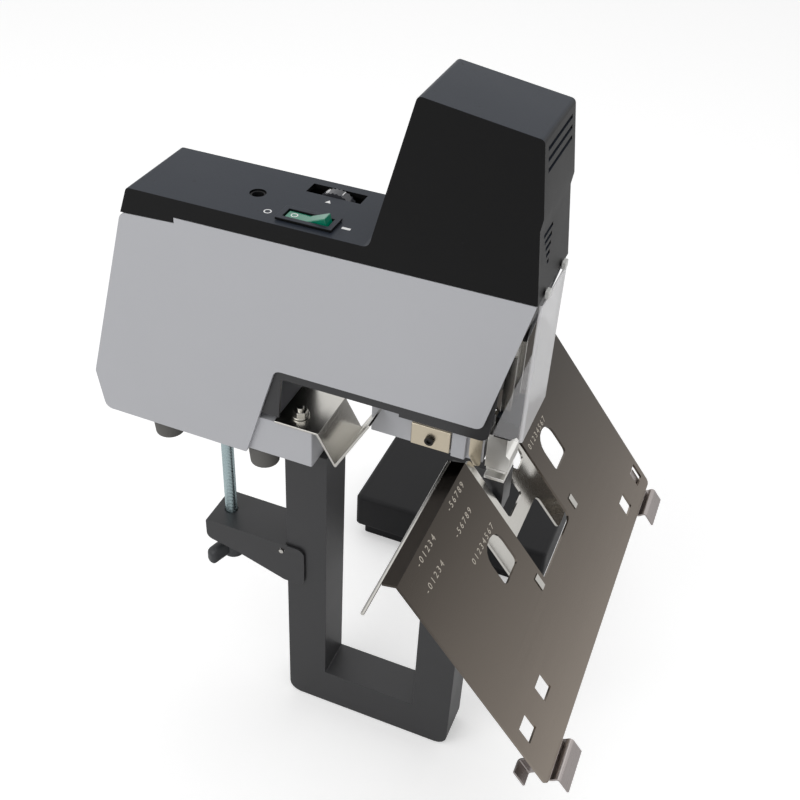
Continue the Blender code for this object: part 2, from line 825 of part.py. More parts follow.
def top_cover():
    """One moulding: the deck with its openings, and the tower over the solenoid."""
    outline = filleted(cover_corners())
    cover = sheet("top_cover", [outline], BODY_WIDTH, "cover_black", turn=ALONG_Y)
    drafted(cover.data, DECK_Z, TOWER_TOP_FRONT[1], TOWER_TOP_WIDTH / BODY_WIDTH)
    rounded_edges(cover, COVER_ROUND, 3, 60)
    half_slot = WHEEL_SLOT_LENGTH / 2
    half_bezel = BEZEL_LENGTH / 2 - BEZEL_RIM + GAP
    bezel_width = BEZEL_WIDTH / 2 - BEZEL_RIM + GAP
    low, high = DECK_Z - COVER_WALL - OVERRUN, DECK_Z + OVERRUN
    openings = [
        block(
            "wheel_slot",
            (WHEEL_X - half_slot, WHEEL_Y - WHEEL_SLOT_WIDTH / 2, low),
            (WHEEL_X + half_slot, WHEEL_Y + WHEEL_SLOT_WIDTH / 2, high),
        ),
        block(
            "switch_opening",
            (SWITCH_X - half_bezel, SWITCH_Y - bezel_width, low),
            (SWITCH_X + half_bezel, SWITCH_Y + bezel_width, high),
        ),
        turned(
            "jack_opening",
            [
                (0, OVERRUN),
                (JACK_HOLE_RADIUS, OVERRUN),
                (JACK_HOLE_RADIUS, -OVERRUN),
                (0, -OVERRUN),
            ],
            place=(JACK_X, JACK_Y, DECK_Z),
        ),
    ]
    cut(cover, cover_hollow(), *openings, *vents())


def switch():
    """Rocker in its bezel. The pressed end is the rear one, marked off."""
    half_length, half_width = BEZEL_LENGTH / 2, BEZEL_WIDTH / 2
    top = DECK_Z + GAP + BEZEL_LIP
    bezel = block(
        "switch_bezel",
        (SWITCH_X - half_length, SWITCH_Y - half_width, DECK_Z + GAP),
        (SWITCH_X + half_length, SWITCH_Y + half_width, top),
        "dark_plastic",
    )
    body_length, body_width = half_length - BEZEL_RIM, half_width - BEZEL_RIM
    body = block(
        "switch_body",
        (SWITCH_X - body_length, SWITCH_Y - body_width, top - BEZEL_DEPTH),
        (SWITCH_X + body_length, SWITCH_Y + body_width, top - BEZEL_LIP / 2),
    )
    pocket_length, pocket_width = body_length - SHEET / 2, body_width - SHEET / 2
    pocket = block(
        "switch_pocket",
        (SWITCH_X - pocket_length, SWITCH_Y - pocket_width, top - BEZEL_DEPTH + BEZEL_FLOOR),
        (SWITCH_X + pocket_length, SWITCH_Y + pocket_width, top + OVERRUN),
    )
    joined(bezel, body)
    cut(bezel, pocket)
    rocker_length = pocket_length - ROCKER_GAP
    crest = BEZEL_LIP
    outline = [
        (-rocker_length, crest),
        (0, crest),
        (rocker_length - ROCKER_TAPER, ROCKER_RAISED),
        (rocker_length, -ROCKER_SHOULDER),
        (0, -ROCKER_SKIRT - ROCKER_TAPER),
        (-rocker_length + ROCKER_SHOULDER, -ROCKER_SKIRT),
    ]
    axis = pivot("rocker_axis", (SWITCH_X, SWITCH_Y, DECK_Z - ROCKER_SHOULDER))
    rocker = sheet(
        "power_rocker", [outline], 2 * (pocket_width - ROCKER_GAP), "rocker_green", turn=ALONG_Y
    )
    drawn_on(axis, rocker)


def pedal_jack():
    """Socket that the foot pedal's plug goes into."""
    outer = JACK_HOLE_RADIUS - GAP
    turned(
        "pedal_jack",
        [
            (0, SHEET - JACK_LENGTH),
            (JACK_BORE_RADIUS, SHEET - JACK_LENGTH),
            (JACK_BORE_RADIUS, 0),
            (outer, 0),
            (outer, -JACK_LENGTH),
            (0, -JACK_LENGTH),
        ],
        "dark_plastic",
        (JACK_X, JACK_Y, DECK_Z - JACK_SUNK),
    )


def force_wheel():
    """Ribbed wheel that shows through the deck, on the shaft of its potentiometer."""
    centre_z = DECK_Z + WHEEL_RISE - WHEEL_RADIUS
    ribs = []
    for index in range(2 * WHEEL_RIBS):
        radius = WHEEL_RADIUS - (index % 2) * WHEEL_RIB_DEPTH
        angle = math.pi * index / WHEEL_RIBS
        ribs.append(Vector((radius * math.cos(angle), radius * math.sin(angle))))
    bore = circle(WHEEL_SHAFT_RADIUS + GAP, sides=16)
    axis = pivot("force_wheel_axis", (WHEEL_X, WHEEL_Y, centre_z))
    wheel = sheet("force_wheel", [ribs, bore], WHEEL_THICKNESS, "wheel_clear", turn=ALONG_Y)
    drawn_on(axis, wheel)
    near = WHEEL_Y - WHEEL_THICKNESS / 2 - SLIDE_GAP
    board_top = HEAD_FRAME_TOP_Z + GAP + BOARD_THICKNESS
    pot = block(
        "force_dial_pot",
        (WHEEL_X - POT_LENGTH / 2, near - POT_WIDTH, board_top + GAP),
        (WHEEL_X + POT_LENGTH / 2, near, DECK_Z - COVER_WALL - POT_TOP_CLEARANCE),
        "dark_plastic",
    )
    shaft = rod(
        "pot_shaft",
        [(0, near - POT_WIDTH / 2, 0), (0, WHEEL_Y + WHEEL_THICKNESS / 2, 0)],
        WHEEL_SHAFT_RADIUS,
        place=(WHEEL_X, 0, centre_z),
    )
    joined(pot, shaft)


def control_board():
    """Circuit board on the head frame, below the deck."""
    low = HEAD_FRAME_TOP_Z + GAP
    block(
        "control_board",
        (BOARD_REAR_X, BOARD_NEAR_Y, low),
        (BOARD_FRONT_X, BOARD_FAR_Y, low + BOARD_THICKNESS),
        "board_green",
    )


def solenoid():
    """Iron yoke and coil standing on the head frame, inside the tower."""
    iron = SOLENOID_IRON
    half_length, half_width = SOLENOID_LENGTH / 2, SOLENOID_WIDTH / 2
    base, top = COIL_BASE_Z, SOLENOID_TOP_Z
    frame = block(
        "solenoid_frame",
        (SOLENOID_X - half_length, -half_width, base),
        (SOLENOID_X + half_length, half_width, top),
        "iron",
    )
    window = block(
        "solenoid_window",
        (SOLENOID_X - half_length + iron, -half_width - OVERRUN, base + iron),
        (SOLENOID_X + half_length + OVERRUN, half_width + OVERRUN, top - iron),
    )
    bore = PLUNGER_RADIUS + PLUNGER_CLEARANCE
    reach = SOLENOID_HEIGHT / 2 + OVERRUN
    hole = turned(
        "solenoid_bore",
        [(0, reach), (bore, reach), (bore, -reach), (0, -reach)],
        place=(SOLENOID_X, 0, (base + top) / 2),
    )
    cut(frame, window, hole)
    coil_low, coil_high = base + iron + GAP, top - iron - GAP
    flange = COIL_FLANGE
    turned(
        "solenoid_coil",
        [
            (bore, coil_high),
            (COIL_FLANGE_RADIUS, coil_high),
            (COIL_FLANGE_RADIUS, coil_high - flange),
            (COIL_RADIUS, coil_high - flange),
            (COIL_RADIUS, coil_low + flange),
            (COIL_FLANGE_RADIUS, coil_low + flange),
            (COIL_FLANGE_RADIUS, coil_low),
            (bore, coil_low),
        ],
        "copper",
        (SOLENOID_X, 0, 0),
    )


def driver():
    """Plunger, yoke and blade, which the solenoid drives down and the spring lifts."""
    axis = pivot("driver_axis", (SOLENOID_X, 0, SOLENOID_TOP_Z))
    head_low = SOLENOID_TOP_Z + SPRING_LENGTH + 2 * GAP
    plunger = turned(
        "plunger",
        [
            (0, head_low + PLUNGER_HEAD),
            (PLUNGER_HEAD_RADIUS, head_low + PLUNGER_HEAD),
            (PLUNGER_HEAD_RADIUS, head_low),
            (PLUNGER_RADIUS, head_low),
            (PLUNGER_RADIUS, PLUNGER_FOOT_Z),
            (0, PLUNGER_FOOT_Z),
        ],
        "plated",
        (SOLENOID_X, 0, 0),
    )
    yoke_top = PLUNGER_FOOT_Z - GAP
    yoke_low = yoke_top - YOKE_THICKNESS
    yoke = block(
        "driver_yoke",
        (SOLENOID_X - YOKE_TAIL, -YOKE_WIDTH / 2, yoke_low),
        (BLADE_X + BLADE_THICKNESS, YOKE_WIDTH / 2, yoke_top),
        "iron",
        TRAY_EDGE,
    )
    blade = block(
        "driver_blade",
        (BLADE_X - BLADE_THICKNESS / 2, -BLADE_WIDTH / 2, BLADE_TIP_Z),
        (BLADE_X + BLADE_THICKNESS / 2, BLADE_WIDTH / 2, yoke_low - GAP),
        "plated",
    )
    carried(axis, plunger, yoke, blade)
    inner = PLUNGER_RADIUS + PLUNGER_CLEARANCE
    low = SOLENOID_TOP_Z + GAP
    turned(
        "return_spring",
        [
            (inner, low + SPRING_LENGTH),
            (inner + SPRING_WIRE, low + SPRING_LENGTH),
            (inner + SPRING_WIRE, low),
            (inner, low),
        ],
        "plated",
        (SOLENOID_X, 0, 0),
    )


def driver_guides():
    """Plated channel and black housing that the blade runs down through."""
    near = BLADE_X - GUIDE_DEPTH / 2
    guide_low = HOUSING_TOP_Z + GAP
    guide = block(
        "driver_guide",
        (near, -GUIDE_WIDTH / 2, guide_low),
        (near + GUIDE_DEPTH, GUIDE_WIDTH / 2, GUIDE_TOP_Z),
        "plated",
    )
    half_slot = BLADE_WIDTH / 2 + SLIDE_GAP
    guide_slot = block(
        "guide_slot",
        (BLADE_X - BLADE_THICKNESS / 2 - SLIDE_GAP, -half_slot, guide_low - OVERRUN),
        (near + GUIDE_DEPTH + OVERRUN, half_slot, GUIDE_TOP_Z + OVERRUN),
    )
    cut(guide, guide_slot)
    outline = [
        (HOUSING_REAR_X, HOUSING_LOWER_Z),
        (HOUSING_FRONT_X - HOUSING_CHIN, HOUSING_LOWER_Z),
        (HOUSING_FRONT_X, HOUSING_LOWER_Z + HOUSING_CHIN),
        (HOUSING_FRONT_X, HOUSING_TOP_Z - HOUSING_CHIN / 2),
        (HOUSING_REAR_X, HOUSING_TOP_Z),
    ]
    housing = sheet("driver_housing", [outline], HOUSING_WIDTH, "cover_black", turn=ALONG_Y)
    slot = block(
        "housing_slot",
        (BLADE_X - BLADE_THICKNESS / 2 - SLIDE_GAP, -half_slot, HOUSING_LOWER_Z - OVERRUN),
        (BLADE_X + BLADE_THICKNESS / 2 + SLIDE_GAP, half_slot, HOUSING_TOP_Z + OVERRUN),
    )
    cut(housing, slot)


def front_closers():
    """Cover under the tower's front and the plate behind the driver guide."""
    lean = (PANEL_TOP_FRONT[0] - PANEL_NOSE[0]) / (PANEL_TOP_FRONT[1] - PANEL_NOSE[1])
    inset = PANEL_EDGE
    top_x = PANEL_TOP_FRONT[0] - inset - (PANEL_TOP_FRONT[1] - FRONT_COVER_TOP_Z) * lean
    low_x = PANEL_TOP_FRONT[0] - inset - (PANEL_TOP_FRONT[1] - FRONT_COVER_LOWER_Z) * lean
    outline = [
        (top_x, FRONT_COVER_TOP_Z),
        (top_x - SHEET, FRONT_COVER_TOP_Z),
        (low_x - SHEET, FRONT_COVER_LOWER_Z),
        (low_x, FRONT_COVER_LOWER_Z),
    ]
    sheet("front_cover", [outline], 2 * HALF_INSIDE, "cover_black", turn=ALONG_Y)
    half = HALF_INSIDE - HEAD_FRAME_SHEET - GAP
    block(
        "front_plate",
        (FRONT_PLATE_X, -half, FRONT_PLATE_LOWER_Z),
        (FRONT_PLATE_X + SHEET, half, FRONT_PLATE_TOP_Z),
        "frame_black",
    )


def magazine():
    """Rail, blocks, nose and press plate, which dip together onto the paper."""
    axis = pivot("magazine_axis", (BLADE_X, 0, NOSE_LOWER_Z))
    half = RAIL_WIDTH / 2
    inner = half - RAIL_WALL
    rail = block(
        "magazine_rail",
        (RAIL_REAR_X, -half, RAIL_LOWER_Z),
        (RAIL_FRONT_X, half, RAIL_TOP_Z),
        "panel_grey",
    )
    channel = block(
        "rail_channel",
        (RAIL_REAR_X + RAIL_REAR_WALL, -inner, RAIL_LOWER_Z + RAIL_WALL),
        (RAIL_FRONT_X + OVERRUN, inner, RAIL_TOP_Z + OVERRUN),
    )
    cut(rail, channel)
    face = -half - GAP
    plate = block(
        "magazine_block",
        (BLOCK_REAR_X, face - BLOCK_PLATE, BLOCK_LOWER_Z),
        (BLOCK_FRONT_X, face, BLOCK_TOP_Z),
        "brass_tone",
        GAP,
    )
    plate_face = face - BLOCK_PLATE - GAP
    screw = turned(
        "magazine_screw",
        [
            (SOCKET_RADIUS, SCREW_HEAD),
            (SCREW_RADIUS, SCREW_HEAD),
            (SCREW_RADIUS, 0),
            (0, 0),
            (0, SCREW_HEAD / 2),
            (SOCKET_RADIUS, SCREW_HEAD / 2),
        ],
        "iron",
        (SCREW_X, plate_face, SCREW_Z),
        ALONG_Y,
        16,
    )
    cap = block(
        "magazine_cap",
        (CAP_REAR_X, face - BLOCK_PLATE, BLOCK_LOWER_Z - RAIL_WALL),
        (CAP_FRONT_X, face, BLOCK_TOP_Z + RAIL_WALL),
        "panel_grey",
        GAP,
    )
    leaf = feed_leaf(face)
    nose, press = nose_pieces()
    carried(axis, rail, plate, screw, cap, leaf, nose, press)
    return axis


def feed_leaf(face):
    """Curved spring leaf beside the magazine's front end."""
    reach = BLOCK_TOP_Z - LEAF_LOWER_Z
    bow = LEAF_FRONT_X - LEAF_REAR_X
    outline = [
        (LEAF_REAR_X, BLOCK_TOP_Z),
        (LEAF_REAR_X, LEAF_LOWER_Z + reach / 3, bow / 2),
        (LEAF_REAR_X + bow / 2, LEAF_LOWER_Z),
        (LEAF_FRONT_X, LEAF_LOWER_Z, bow / 4),
        (LEAF_FRONT_X, BLOCK_TOP_Z),
    ]
    return sheet(
        "feed_leaf",
        [filleted(outline)],
        LEAF_THICKNESS,
        "brass_tone",
        (0, face - LEAF_THICKNESS / 2, 0),
        ALONG_Y,
    )


def nose_pieces():
    """The block that the staples leave through, and the thin press plate below it."""
    outline = [
        (NOSE_REAR_X, NOSE_LOWER_Z),
        (NOSE_FRONT_X, NOSE_LOWER_Z, PANEL_EDGE),
        (NOSE_FRONT_X, NOSE_SHELF_Z),
        (NOSE_FRONT_X - PANEL_SHEET, NOSE_SHELF_Z + PANEL_SHEET),
        (NOSE_FRONT_X - PANEL_SHEET, NOSE_TOP_Z),
        (NOSE_REAR_X, NOSE_TOP_Z),
    ]
    nose = sheet("nose_block", [filleted(outline)], NOSE_WIDTH, "plated", turn=ALONG_Y)
    half_slot = NOSE_SLOT_LENGTH / 2
    half_blade = BLADE_WIDTH / 2 + SLIDE_GAP
    slot = block(
        "nose_slot",
        (BLADE_X - half_slot, -half_blade, NOSE_LOWER_Z - OVERRUN),
        (BLADE_X + half_slot, half_blade, NOSE_TOP_Z + OVERRUN),
    )
    cut(nose, slot)
    half = NOSE_WIDTH / 2
    press_top = NOSE_LOWER_Z - GAP
    press = block(
        "press_plate",
        (PRESS_PLATE_REAR_X, -half, press_top - PRESS_PLATE_THICKNESS),
        (PRESS_PLATE_FRONT_X, half, press_top),
        "plated",
    )
    press_slot = block(
        "press_slot",
        (BLADE_X - half_slot, -half_blade, press_top - OVERRUN),
        (BLADE_X + half_slot, half_blade, press_top + OVERRUN),
    )
    cut(press, press_slot)
    return nose, press


def pusher(magazine_axis):
    """Staple pusher in the rail's channel, and the spring behind it."""
    half = RAIL_WIDTH / 2 - RAIL_WALL - SLIDE_GAP
    floor = RAIL_LOWER_Z + RAIL_WALL + SLIDE_GAP
    axis = pivot("pusher_axis", (PUSHER_FRONT_X, 0, floor))
    rear = PUSHER_FRONT_X - PUSHER_LENGTH
    top = RAIL_TOP_Z - RAIL_WALL
    spring_rear = RAIL_REAR_X + RAIL_REAR_WALL + GAP
    middle = (floor + top) / 2
    body = block(
        "staple_pusher", (rear, -half, floor), (PUSHER_FRONT_X, half, top), "plated", GAP
    )
    spring = rod(
        "pusher_spring",
        [(spring_rear, 0, middle), (rear - GAP, 0, middle)],
        PUSHER_SPRING_RADIUS,
        "plated",
    )
    carried(magazine_axis, axis, spring)
    carried(axis, body)


def anvil():
    """Post on the loop's upright, and the anvil plate on it."""
    low = UPRIGHT_TOP_Z + GAP
    top = ANVIL_BASE_Z - GAP
    outline = [
        (POST_REAR_X, low),
        (POST_FRONT_X, low),
        (POST_FRONT_X, top),
        (ANVIL_REAR_X, top),
        (POST_NECK_X, POST_KNEE_Z),
        (POST_REAR_X, POST_KNEE_Z),
    ]
    post = sheet("anvil_post", [outline], POST_WIDTH, "frame_black", turn=ALONG_Y)
    bore = PIVOT_PIN_RADIUS + GAP
    reach = POST_WIDTH / 2 + OVERRUN
    hole = rod("post_bore", [(0, -reach, 0), (0, reach, 0)], bore, place=(PIVOT_X, 0, PIVOT_Z))
    cut(post, hole)
    block(
        "anvil_plate",
        (ANVIL_REAR_X, -ANVIL_WIDTH / 2, ANVIL_BASE_Z),
        (ANVIL_FRONT_X, ANVIL_WIDTH / 2, ANVIL_TOP_Z),
        "plated",
        GAP,
    )


def pivot_pin():
    """Pin through the post that the table tilts on."""
    half = SADDLE_SLOT_HALF + TABLE_SHEET + GAP
    head = PIVOT_PIN_HEAD
    turned(
        "table_pivot_pin",
        [
            (0, half + head),
            (PIVOT_HEAD_RADIUS, half + head),
            (PIVOT_HEAD_RADIUS, half),
            (PIVOT_PIN_RADIUS, half),
            (PIVOT_PIN_RADIUS, -half),
            (PIVOT_HEAD_RADIUS, -half),
            (PIVOT_HEAD_RADIUS, -half - head),
            (0, -half - head),
        ],
        "plated",
        (PIVOT_X, 0, PIVOT_Z),
        ALONG_Y,
    )


def on_table(start):
    """A distance down the table from its ridge, measured from the pivot."""
    return start - TABLE_BEHIND_PIVOT


def d_hole(side):
    """A D-shaped hole in the table, straight towards the middle."""
    inner, outer = sorted((side * HOLE_INNER, side * HOLE_OUTER))
    start, end = on_table(HOLE_START), on_table(HOLE_END)
    round_off = (HOLE_OUTER - HOLE_INNER) * HOLE_ROUND_SHARE
    return filleted(
        [
            (start, inner, round_off),
            (end, inner, TABLE_CORNER),
            (end, outer, TABLE_CORNER),
            (start, outer, round_off),
        ]
    )


def table_holes():
    """All the holes of the table: grips, tab slots and slots of the paper stops."""
    holes = []
    for side in MIRRORED:
        holes.append(d_hole(side))
        low, high = sorted((side * TAB_INNER, side * TAB_OUTER))
        holes.append(rectangle(on_table(TAB_START), on_table(TAB_END), low, high))
    half = STOP_SLOT / 2
    for middles, start in ((NEAR_SLOTS, NEAR_SLOT_START), (FAR_SLOTS, FAR_SLOT_START)):
        for y in middles:
            x0 = on_table(start)
            holes.append(rectangle(x0, x0 + STOP_SLOT, y - half, y + half))
    return holes


def saddle_table(axis):
    """Plated sheet with a window over the anvil and a flange along its ridge."""
    ridge, lower = on_table(0), on_table(TABLE_LENGTH)
    half = TABLE_WIDTH / 2
    window_end = on_table(WINDOW_LENGTH)
    outline = filleted(
        [
            (ridge, -half),
            (lower, -half, TABLE_CORNER),
            (lower, half, TABLE_CORNER),
            (ridge, half),
            (ridge, WINDOW_FAR_Y),
            (window_end, WINDOW_FAR_Y, WINDOW_CORNER),
            (window_end, WINDOW_NEAR_Y, PANEL_EDGE),
            (ridge, WINDOW_NEAR_Y),
        ]
    )
    middle = TABLE_ABOVE_PIVOT - TABLE_SHEET / 2
    table = sheet(
        "saddle_table", [outline, *table_holes()], TABLE_SHEET, "table_plate", (0, 0, middle)
    )
    flanges = []
    for y0, y1, name in (
        (-half, WINDOW_NEAR_Y, "flange_near"),
        (WINDOW_FAR_Y, half, "flange_far"),
    ):
        strip = sheet(
            name, [rectangle(-RIDGE_FLANGE, TABLE_SHEET / 4, y0, y1)], TABLE_SHEET * FLANGE_SHEET_SHARE
        )
        strip.location = (ridge + TABLE_SHEET / 3, 0, middle)
        strip.rotation_euler = (0, -math.radians(RIDGE_FLANGE_TURN), 0)
        flanges.append(strip)
    joined(table, *flanges)
    drawn_on(axis, table, *flanges)


def table_bracket(axis):
    """Sheet below the table that hangs it on the pivot, with tabs up into its slots."""
    start, end = on_table(BRACKET_START), on_table(BRACKET_END)
    lower = on_table(BRACKET_LOWER)
    slot_end = on_table(SADDLE_SLOT_END)
    wide, arm = BRACKET_HALF_WIDTH, BRACKET_ARM_INNER
    slot = SADDLE_SLOT_HALF
    corner = BRACKET_CORNER
    outline = filleted(
        [
            (start, -wide, corner),
            (end, -wide, corner),
            (end, -arm, corner / 2),
            (lower, -arm, corner),
            (lower, arm, corner),
            (end, arm, corner / 2),
            (end, wide, corner),
            (start, wide, corner),
            (start, slot, corner / 2),
            (slot_end, slot, corner / 2),
            (slot_end, -slot, corner / 2),
            (start, -slot, corner / 2),
        ]
    )
    holes = []
    for side in MIRRORED:
        low, high = sorted((side * BRACKET_HOLE_INNER, side * BRACKET_HOLE_OUTER))
        corners = rectangle(
            on_table(BRACKET_HOLE_START), on_table(BRACKET_HOLE_END), low, high
        )
        holes.append(filleted([(*point, corner) for point in corners]))
    middle = TABLE_ABOVE_PIVOT - BRACKET_BELOW - TABLE_SHEET / 2
    bracket = sheet("table_bracket", [outline, *holes], TABLE_SHEET, "plated", (0, 0, middle))
    drawn_on(axis, bracket)
    extras = []
    for side in MIRRORED:
        ear_outline = filleted(
            [
                (-EAR_RADIUS, middle + TABLE_SHEET / 4),
                (-EAR_RADIUS, -EAR_RADIUS, EAR_RADIUS * EAR_ROUND_SHARE),
                (EAR_RADIUS, -EAR_RADIUS, EAR_RADIUS * EAR_ROUND_SHARE),
                (EAR_RADIUS, middle + TABLE_SHEET / 4),
            ],
            6,
        )
        bore = circle(PIVOT_PIN_RADIUS + GAP, sides=16)
        ear_y = side * (slot + TABLE_SHEET / 2)
        ear = sheet(f"bracket_ear_{side}", [ear_outline, bore], TABLE_SHEET, None)
        ear.location = (0, ear_y, 0)
        ear.rotation_euler = ALONG_Y
        tab_low, tab_high = sorted((side * (TAB_INNER + GAP), side * (TAB_OUTER - GAP)))
        tab = block(
            f"bracket_tab_{side}",
            (on_table(TAB_START) + GAP, tab_low, middle),
            (on_table(TAB_END) - GAP, tab_high, TABLE_ABOVE_PIVOT + TAB_RISE),
        )
        extras += [ear, tab]
    joined(bracket, *extras)
    drawn_on(axis, *extras)


def fold_rods(axis):
    """Thin rods along the ridge flange, that the fold of a booklet runs against."""
    turn = math.radians(RIDGE_FLANGE_TURN)
    reach = RIDGE_FLANGE + FOLD_ROD_RADIUS + GAP
    x = on_table(0) + TABLE_SHEET / 3 - reach * math.cos(turn)
    z = TABLE_ABOVE_PIVOT - TABLE_SHEET / 2 - reach * math.sin(turn)
    half = FOLD_ROD_LENGTH / 2
    spans = ((-half, WINDOW_NEAR_Y, "fold_rod_near"), (WINDOW_FAR_Y, half, "fold_rod_far"))
    for y0, y1, name in spans:
        bar = rod(name, [(x, y0, z), (x, y1, z)], FOLD_ROD_RADIUS, "plated", 2)
        drawn_on(axis, bar)


def table_stops(table_axis):
    """Bent stops on the lower corners, that slide along the table's edge."""
    lower = on_table(TABLE_LENGTH)
    under = TABLE_ABOVE_PIVOT - TABLE_SHEET - GAP
    metal = STOP_SHEET
    profile = [
        (lower - STOP_LAP, under - metal),
        (lower + STOP_LENGTH, under - metal),
        (lower + STOP_LENGTH, TABLE_ABOVE_PIVOT + STOP_RISE),
        (lower + STOP_LENGTH - metal, TABLE_ABOVE_PIVOT + STOP_RISE),
        (lower + STOP_LENGTH - metal, under),
        (lower - STOP_LAP, under),
    ]
    width = STOP_OUTER - STOP_INNER
    for side, name in zip(MIRRORED, ("table_stop_near", "table_stop_far")):
        middle = side * (STOP_INNER + STOP_OUTER) / 2
        axis = pivot(name + "_axis", (0, middle, 0), parent=table_axis)
        stop = sheet(name, [profile], width, "plated", turn=ALONG_Y)
        drawn_on(axis, stop)


def table():
    """The tilting table with all that tilts with it."""
    tilt = (0, math.radians(TABLE_TILT), 0)
    axis = pivot("table_axis", (PIVOT_X, 0, PIVOT_Z), tilt)
    saddle_table(axis)
    table_bracket(axis)
    fold_rods(axis)
    table_stops(axis)


def rear_stop():
    """V-shaped paper stop on the tray's front, held by a nut on a stud."""
    sheet_half = REAR_STOP_SHEET
    base = TRAY_TOP_Z + GAP
    low_x, low_z = REAR_STOP_LOW
    tip_x, tip_z = REAR_STOP_TIP
    outline = [
        (REAR_STOP_REAR_X, base),
        (REAR_STOP_BEND_X - sheet_half / 3, base),
        (low_x - sheet_half / 3, low_z - sheet_half / 2),
        (low_x + sheet_half / 2, low_z - sheet_half / 2),
        (tip_x + sheet_half, tip_z),
        (tip_x, tip_z),
        (low_x, low_z + sheet_half),
        (REAR_STOP_BEND_X + sheet_half / 2, base + sheet_half),
        (REAR_STOP_REAR_X, base + sheet_half),
    ]
    width = REAR_STOP_FAR_Y - REAR_STOP_NEAR_Y
    middle = (REAR_STOP_FAR_Y + REAR_STOP_NEAR_Y) / 2
    axis = pivot("rear_stop_axis", (STUD_X, STUD_Y, base))
    stop = sheet("rear_stop", [outline], width, "plated", (0, middle, 0), ALONG_Y)
    relief = block(
        "stop_relief",
        (REAR_STOP_LOW[0] + OVERRUN, -RAIL_WIDTH / 2 - SLIDE_GAP, base - OVERRUN),
        (REAR_STOP_TIP[0] + OVERRUN, REAR_STOP_FAR_Y + OVERRUN, REAR_STOP_TIP[1] + OVERRUN),
    )
    cut(stop, relief)
    washer_low = base + sheet_half + GAP
    nut_low = washer_low + WASHER_HEIGHT
    nut = turned(
        "stop_nut",
        [
            (0, nut_low + NUT_HEIGHT + STUD_PROUD),
            (STUD_RADIUS, nut_low + NUT_HEIGHT + STUD_PROUD),
            (STUD_RADIUS, nut_low + NUT_HEIGHT),
            (NUT_RADIUS, nut_low + NUT_HEIGHT),
            (NUT_RADIUS, nut_low),
            (WASHER_RADIUS, nut_low),
            (WASHER_RADIUS, washer_low),
            (0, washer_low),
        ],
        "zinc",
        (STUD_X, STUD_Y, 0),
        sides=18,
    )
    carried(axis, stop, relief, nut)


def clamp_rod():
    """Threaded rod under the base, with its lock nut."""
    top = TRAY_BASE_Z - GAP
    turned(
        "clamp_rod",
        [
            (0, top),
            (ROD_NUT_RADIUS, top),
            (ROD_NUT_RADIUS, top - ROD_NUT_HEIGHT),
            (ROD_RADIUS, top - ROD_NUT_HEIGHT),
            (ROD_RADIUS, ROD_FOOT_Z),
            (0, ROD_FOOT_Z),
        ],
        "zinc",
        (ROD_X, 0, 0),
    )


def clamp_arm():
    """Folded arm that slides up the loop's column and presses under the desk."""
    outer = HALF_TUBE + SLIDE_GAP + ARM_SHEET
    top = ARM_TOP_Z
    corners = [
        (ARM_REAR_X, top, ARM_SHEET),
        (ARM_FRONT_X, top, PANEL_CORNER),
        (ARM_FRONT_X, top - ARM_FRONT_DROP, PANEL_CORNER),
        (COLUMN_REAR_X - ARM_SHEET, top - ARM_FRONT_DROP, PANEL_CORNER),
        (ARM_MID_X, top - ARM_MID_DROP),
        (ARM_REAR_X, top - ARM_REAR_DROP, PANEL_CORNER),
    ]
    arm = sheet("clamp_arm", [filleted(corners)], 2 * outer, "frame_black", turn=ALONG_Y)
    inner = HALF_TUBE + SLIDE_GAP
    hollow = block(
        "arm_hollow",
        (ARM_REAR_X + ARM_SHEET, -inner, top - ARM_FRONT_DROP - OVERRUN),
        (ARM_FRONT_X + OVERRUN, inner, top - ARM_SHEET),
    )
    column = block(
        "arm_column",
        (COLUMN_REAR_X - SLIDE_GAP, -inner, top - ARM_FRONT_DROP - OVERRUN),
        (ARM_FRONT_X + OVERRUN, inner, top + OVERRUN),
    )
    hole = rod(
        "arm_hole",
        [(0, 0, -OVERRUN), (0, 0, OVERRUN)],
        ROD_RADIUS + SLIDE_GAP,
        place=(ROD_X, 0, top),
    )
    cut(arm, hollow, column, hole)
    pin_half = outer + CLAMP_PIN_PROUD
    pin_z = top - CLAMP_PIN_DROP
    pin_hole = rod(
        "pin_hole",
        [(0, -pin_half, 0), (0, pin_half, 0)],
        CLAMP_PIN_RADIUS + GAP,
        place=(CLAMP_PIN_X, 0, pin_z),
    )
    cut(arm, pin_hole)
    pin = rod(
        "clamp_pin",
        [(0, -pin_half, 0), (0, pin_half, 0)],
        CLAMP_PIN_RADIUS,
        "plated",
        2,
        (CLAMP_PIN_X, 0, pin_z),
    )
    return arm, pin


def wing_nut():
    """Black knob with two wings, under the clamp arm."""
    hub_top = ARM_TOP_Z - ARM_SHEET - GAP
    hub_low = hub_top - WING_HUB_HEIGHT
    nut = turned(
        "wing_nut",
        [(0, hub_top), (WING_HUB_RADIUS, hub_top), (WING_HUB_RADIUS, hub_low), (0, hub_low)],
        "dark_plastic",
        (ROD_X, 0, 0),
    )
    half = WING_SPAN / 2
    wing_low = hub_low - WING_THICKNESS / 2
    outline = [
        (-half, wing_low, WING_THICKNESS / 2),
        (half, wing_low, WING_THICKNESS / 2),
        (half, wing_low + WING_HEIGHT, WING_THICKNESS / 2),
        (0, wing_low + WING_THICKNESS),
        (-half, wing_low + WING_HEIGHT, WING_THICKNESS / 2),
    ]
    turn = (math.pi / 2, 0, math.radians(WING_TURN))
    wings = sheet(
        "wings", [filleted(outline)], WING_THICKNESS, place=(ROD_X, 0, 0), turn=turn
    )
    bore = rod(
        "wing_bore",
        [(0, 0, wing_low - OVERRUN), (0, 0, hub_top + OVERRUN)],
        ROD_RADIUS + GAP,
        place=(ROD_X, 0, 0),
    )
    joined(nut, wings)
    cut(nut, bore)
    return nut


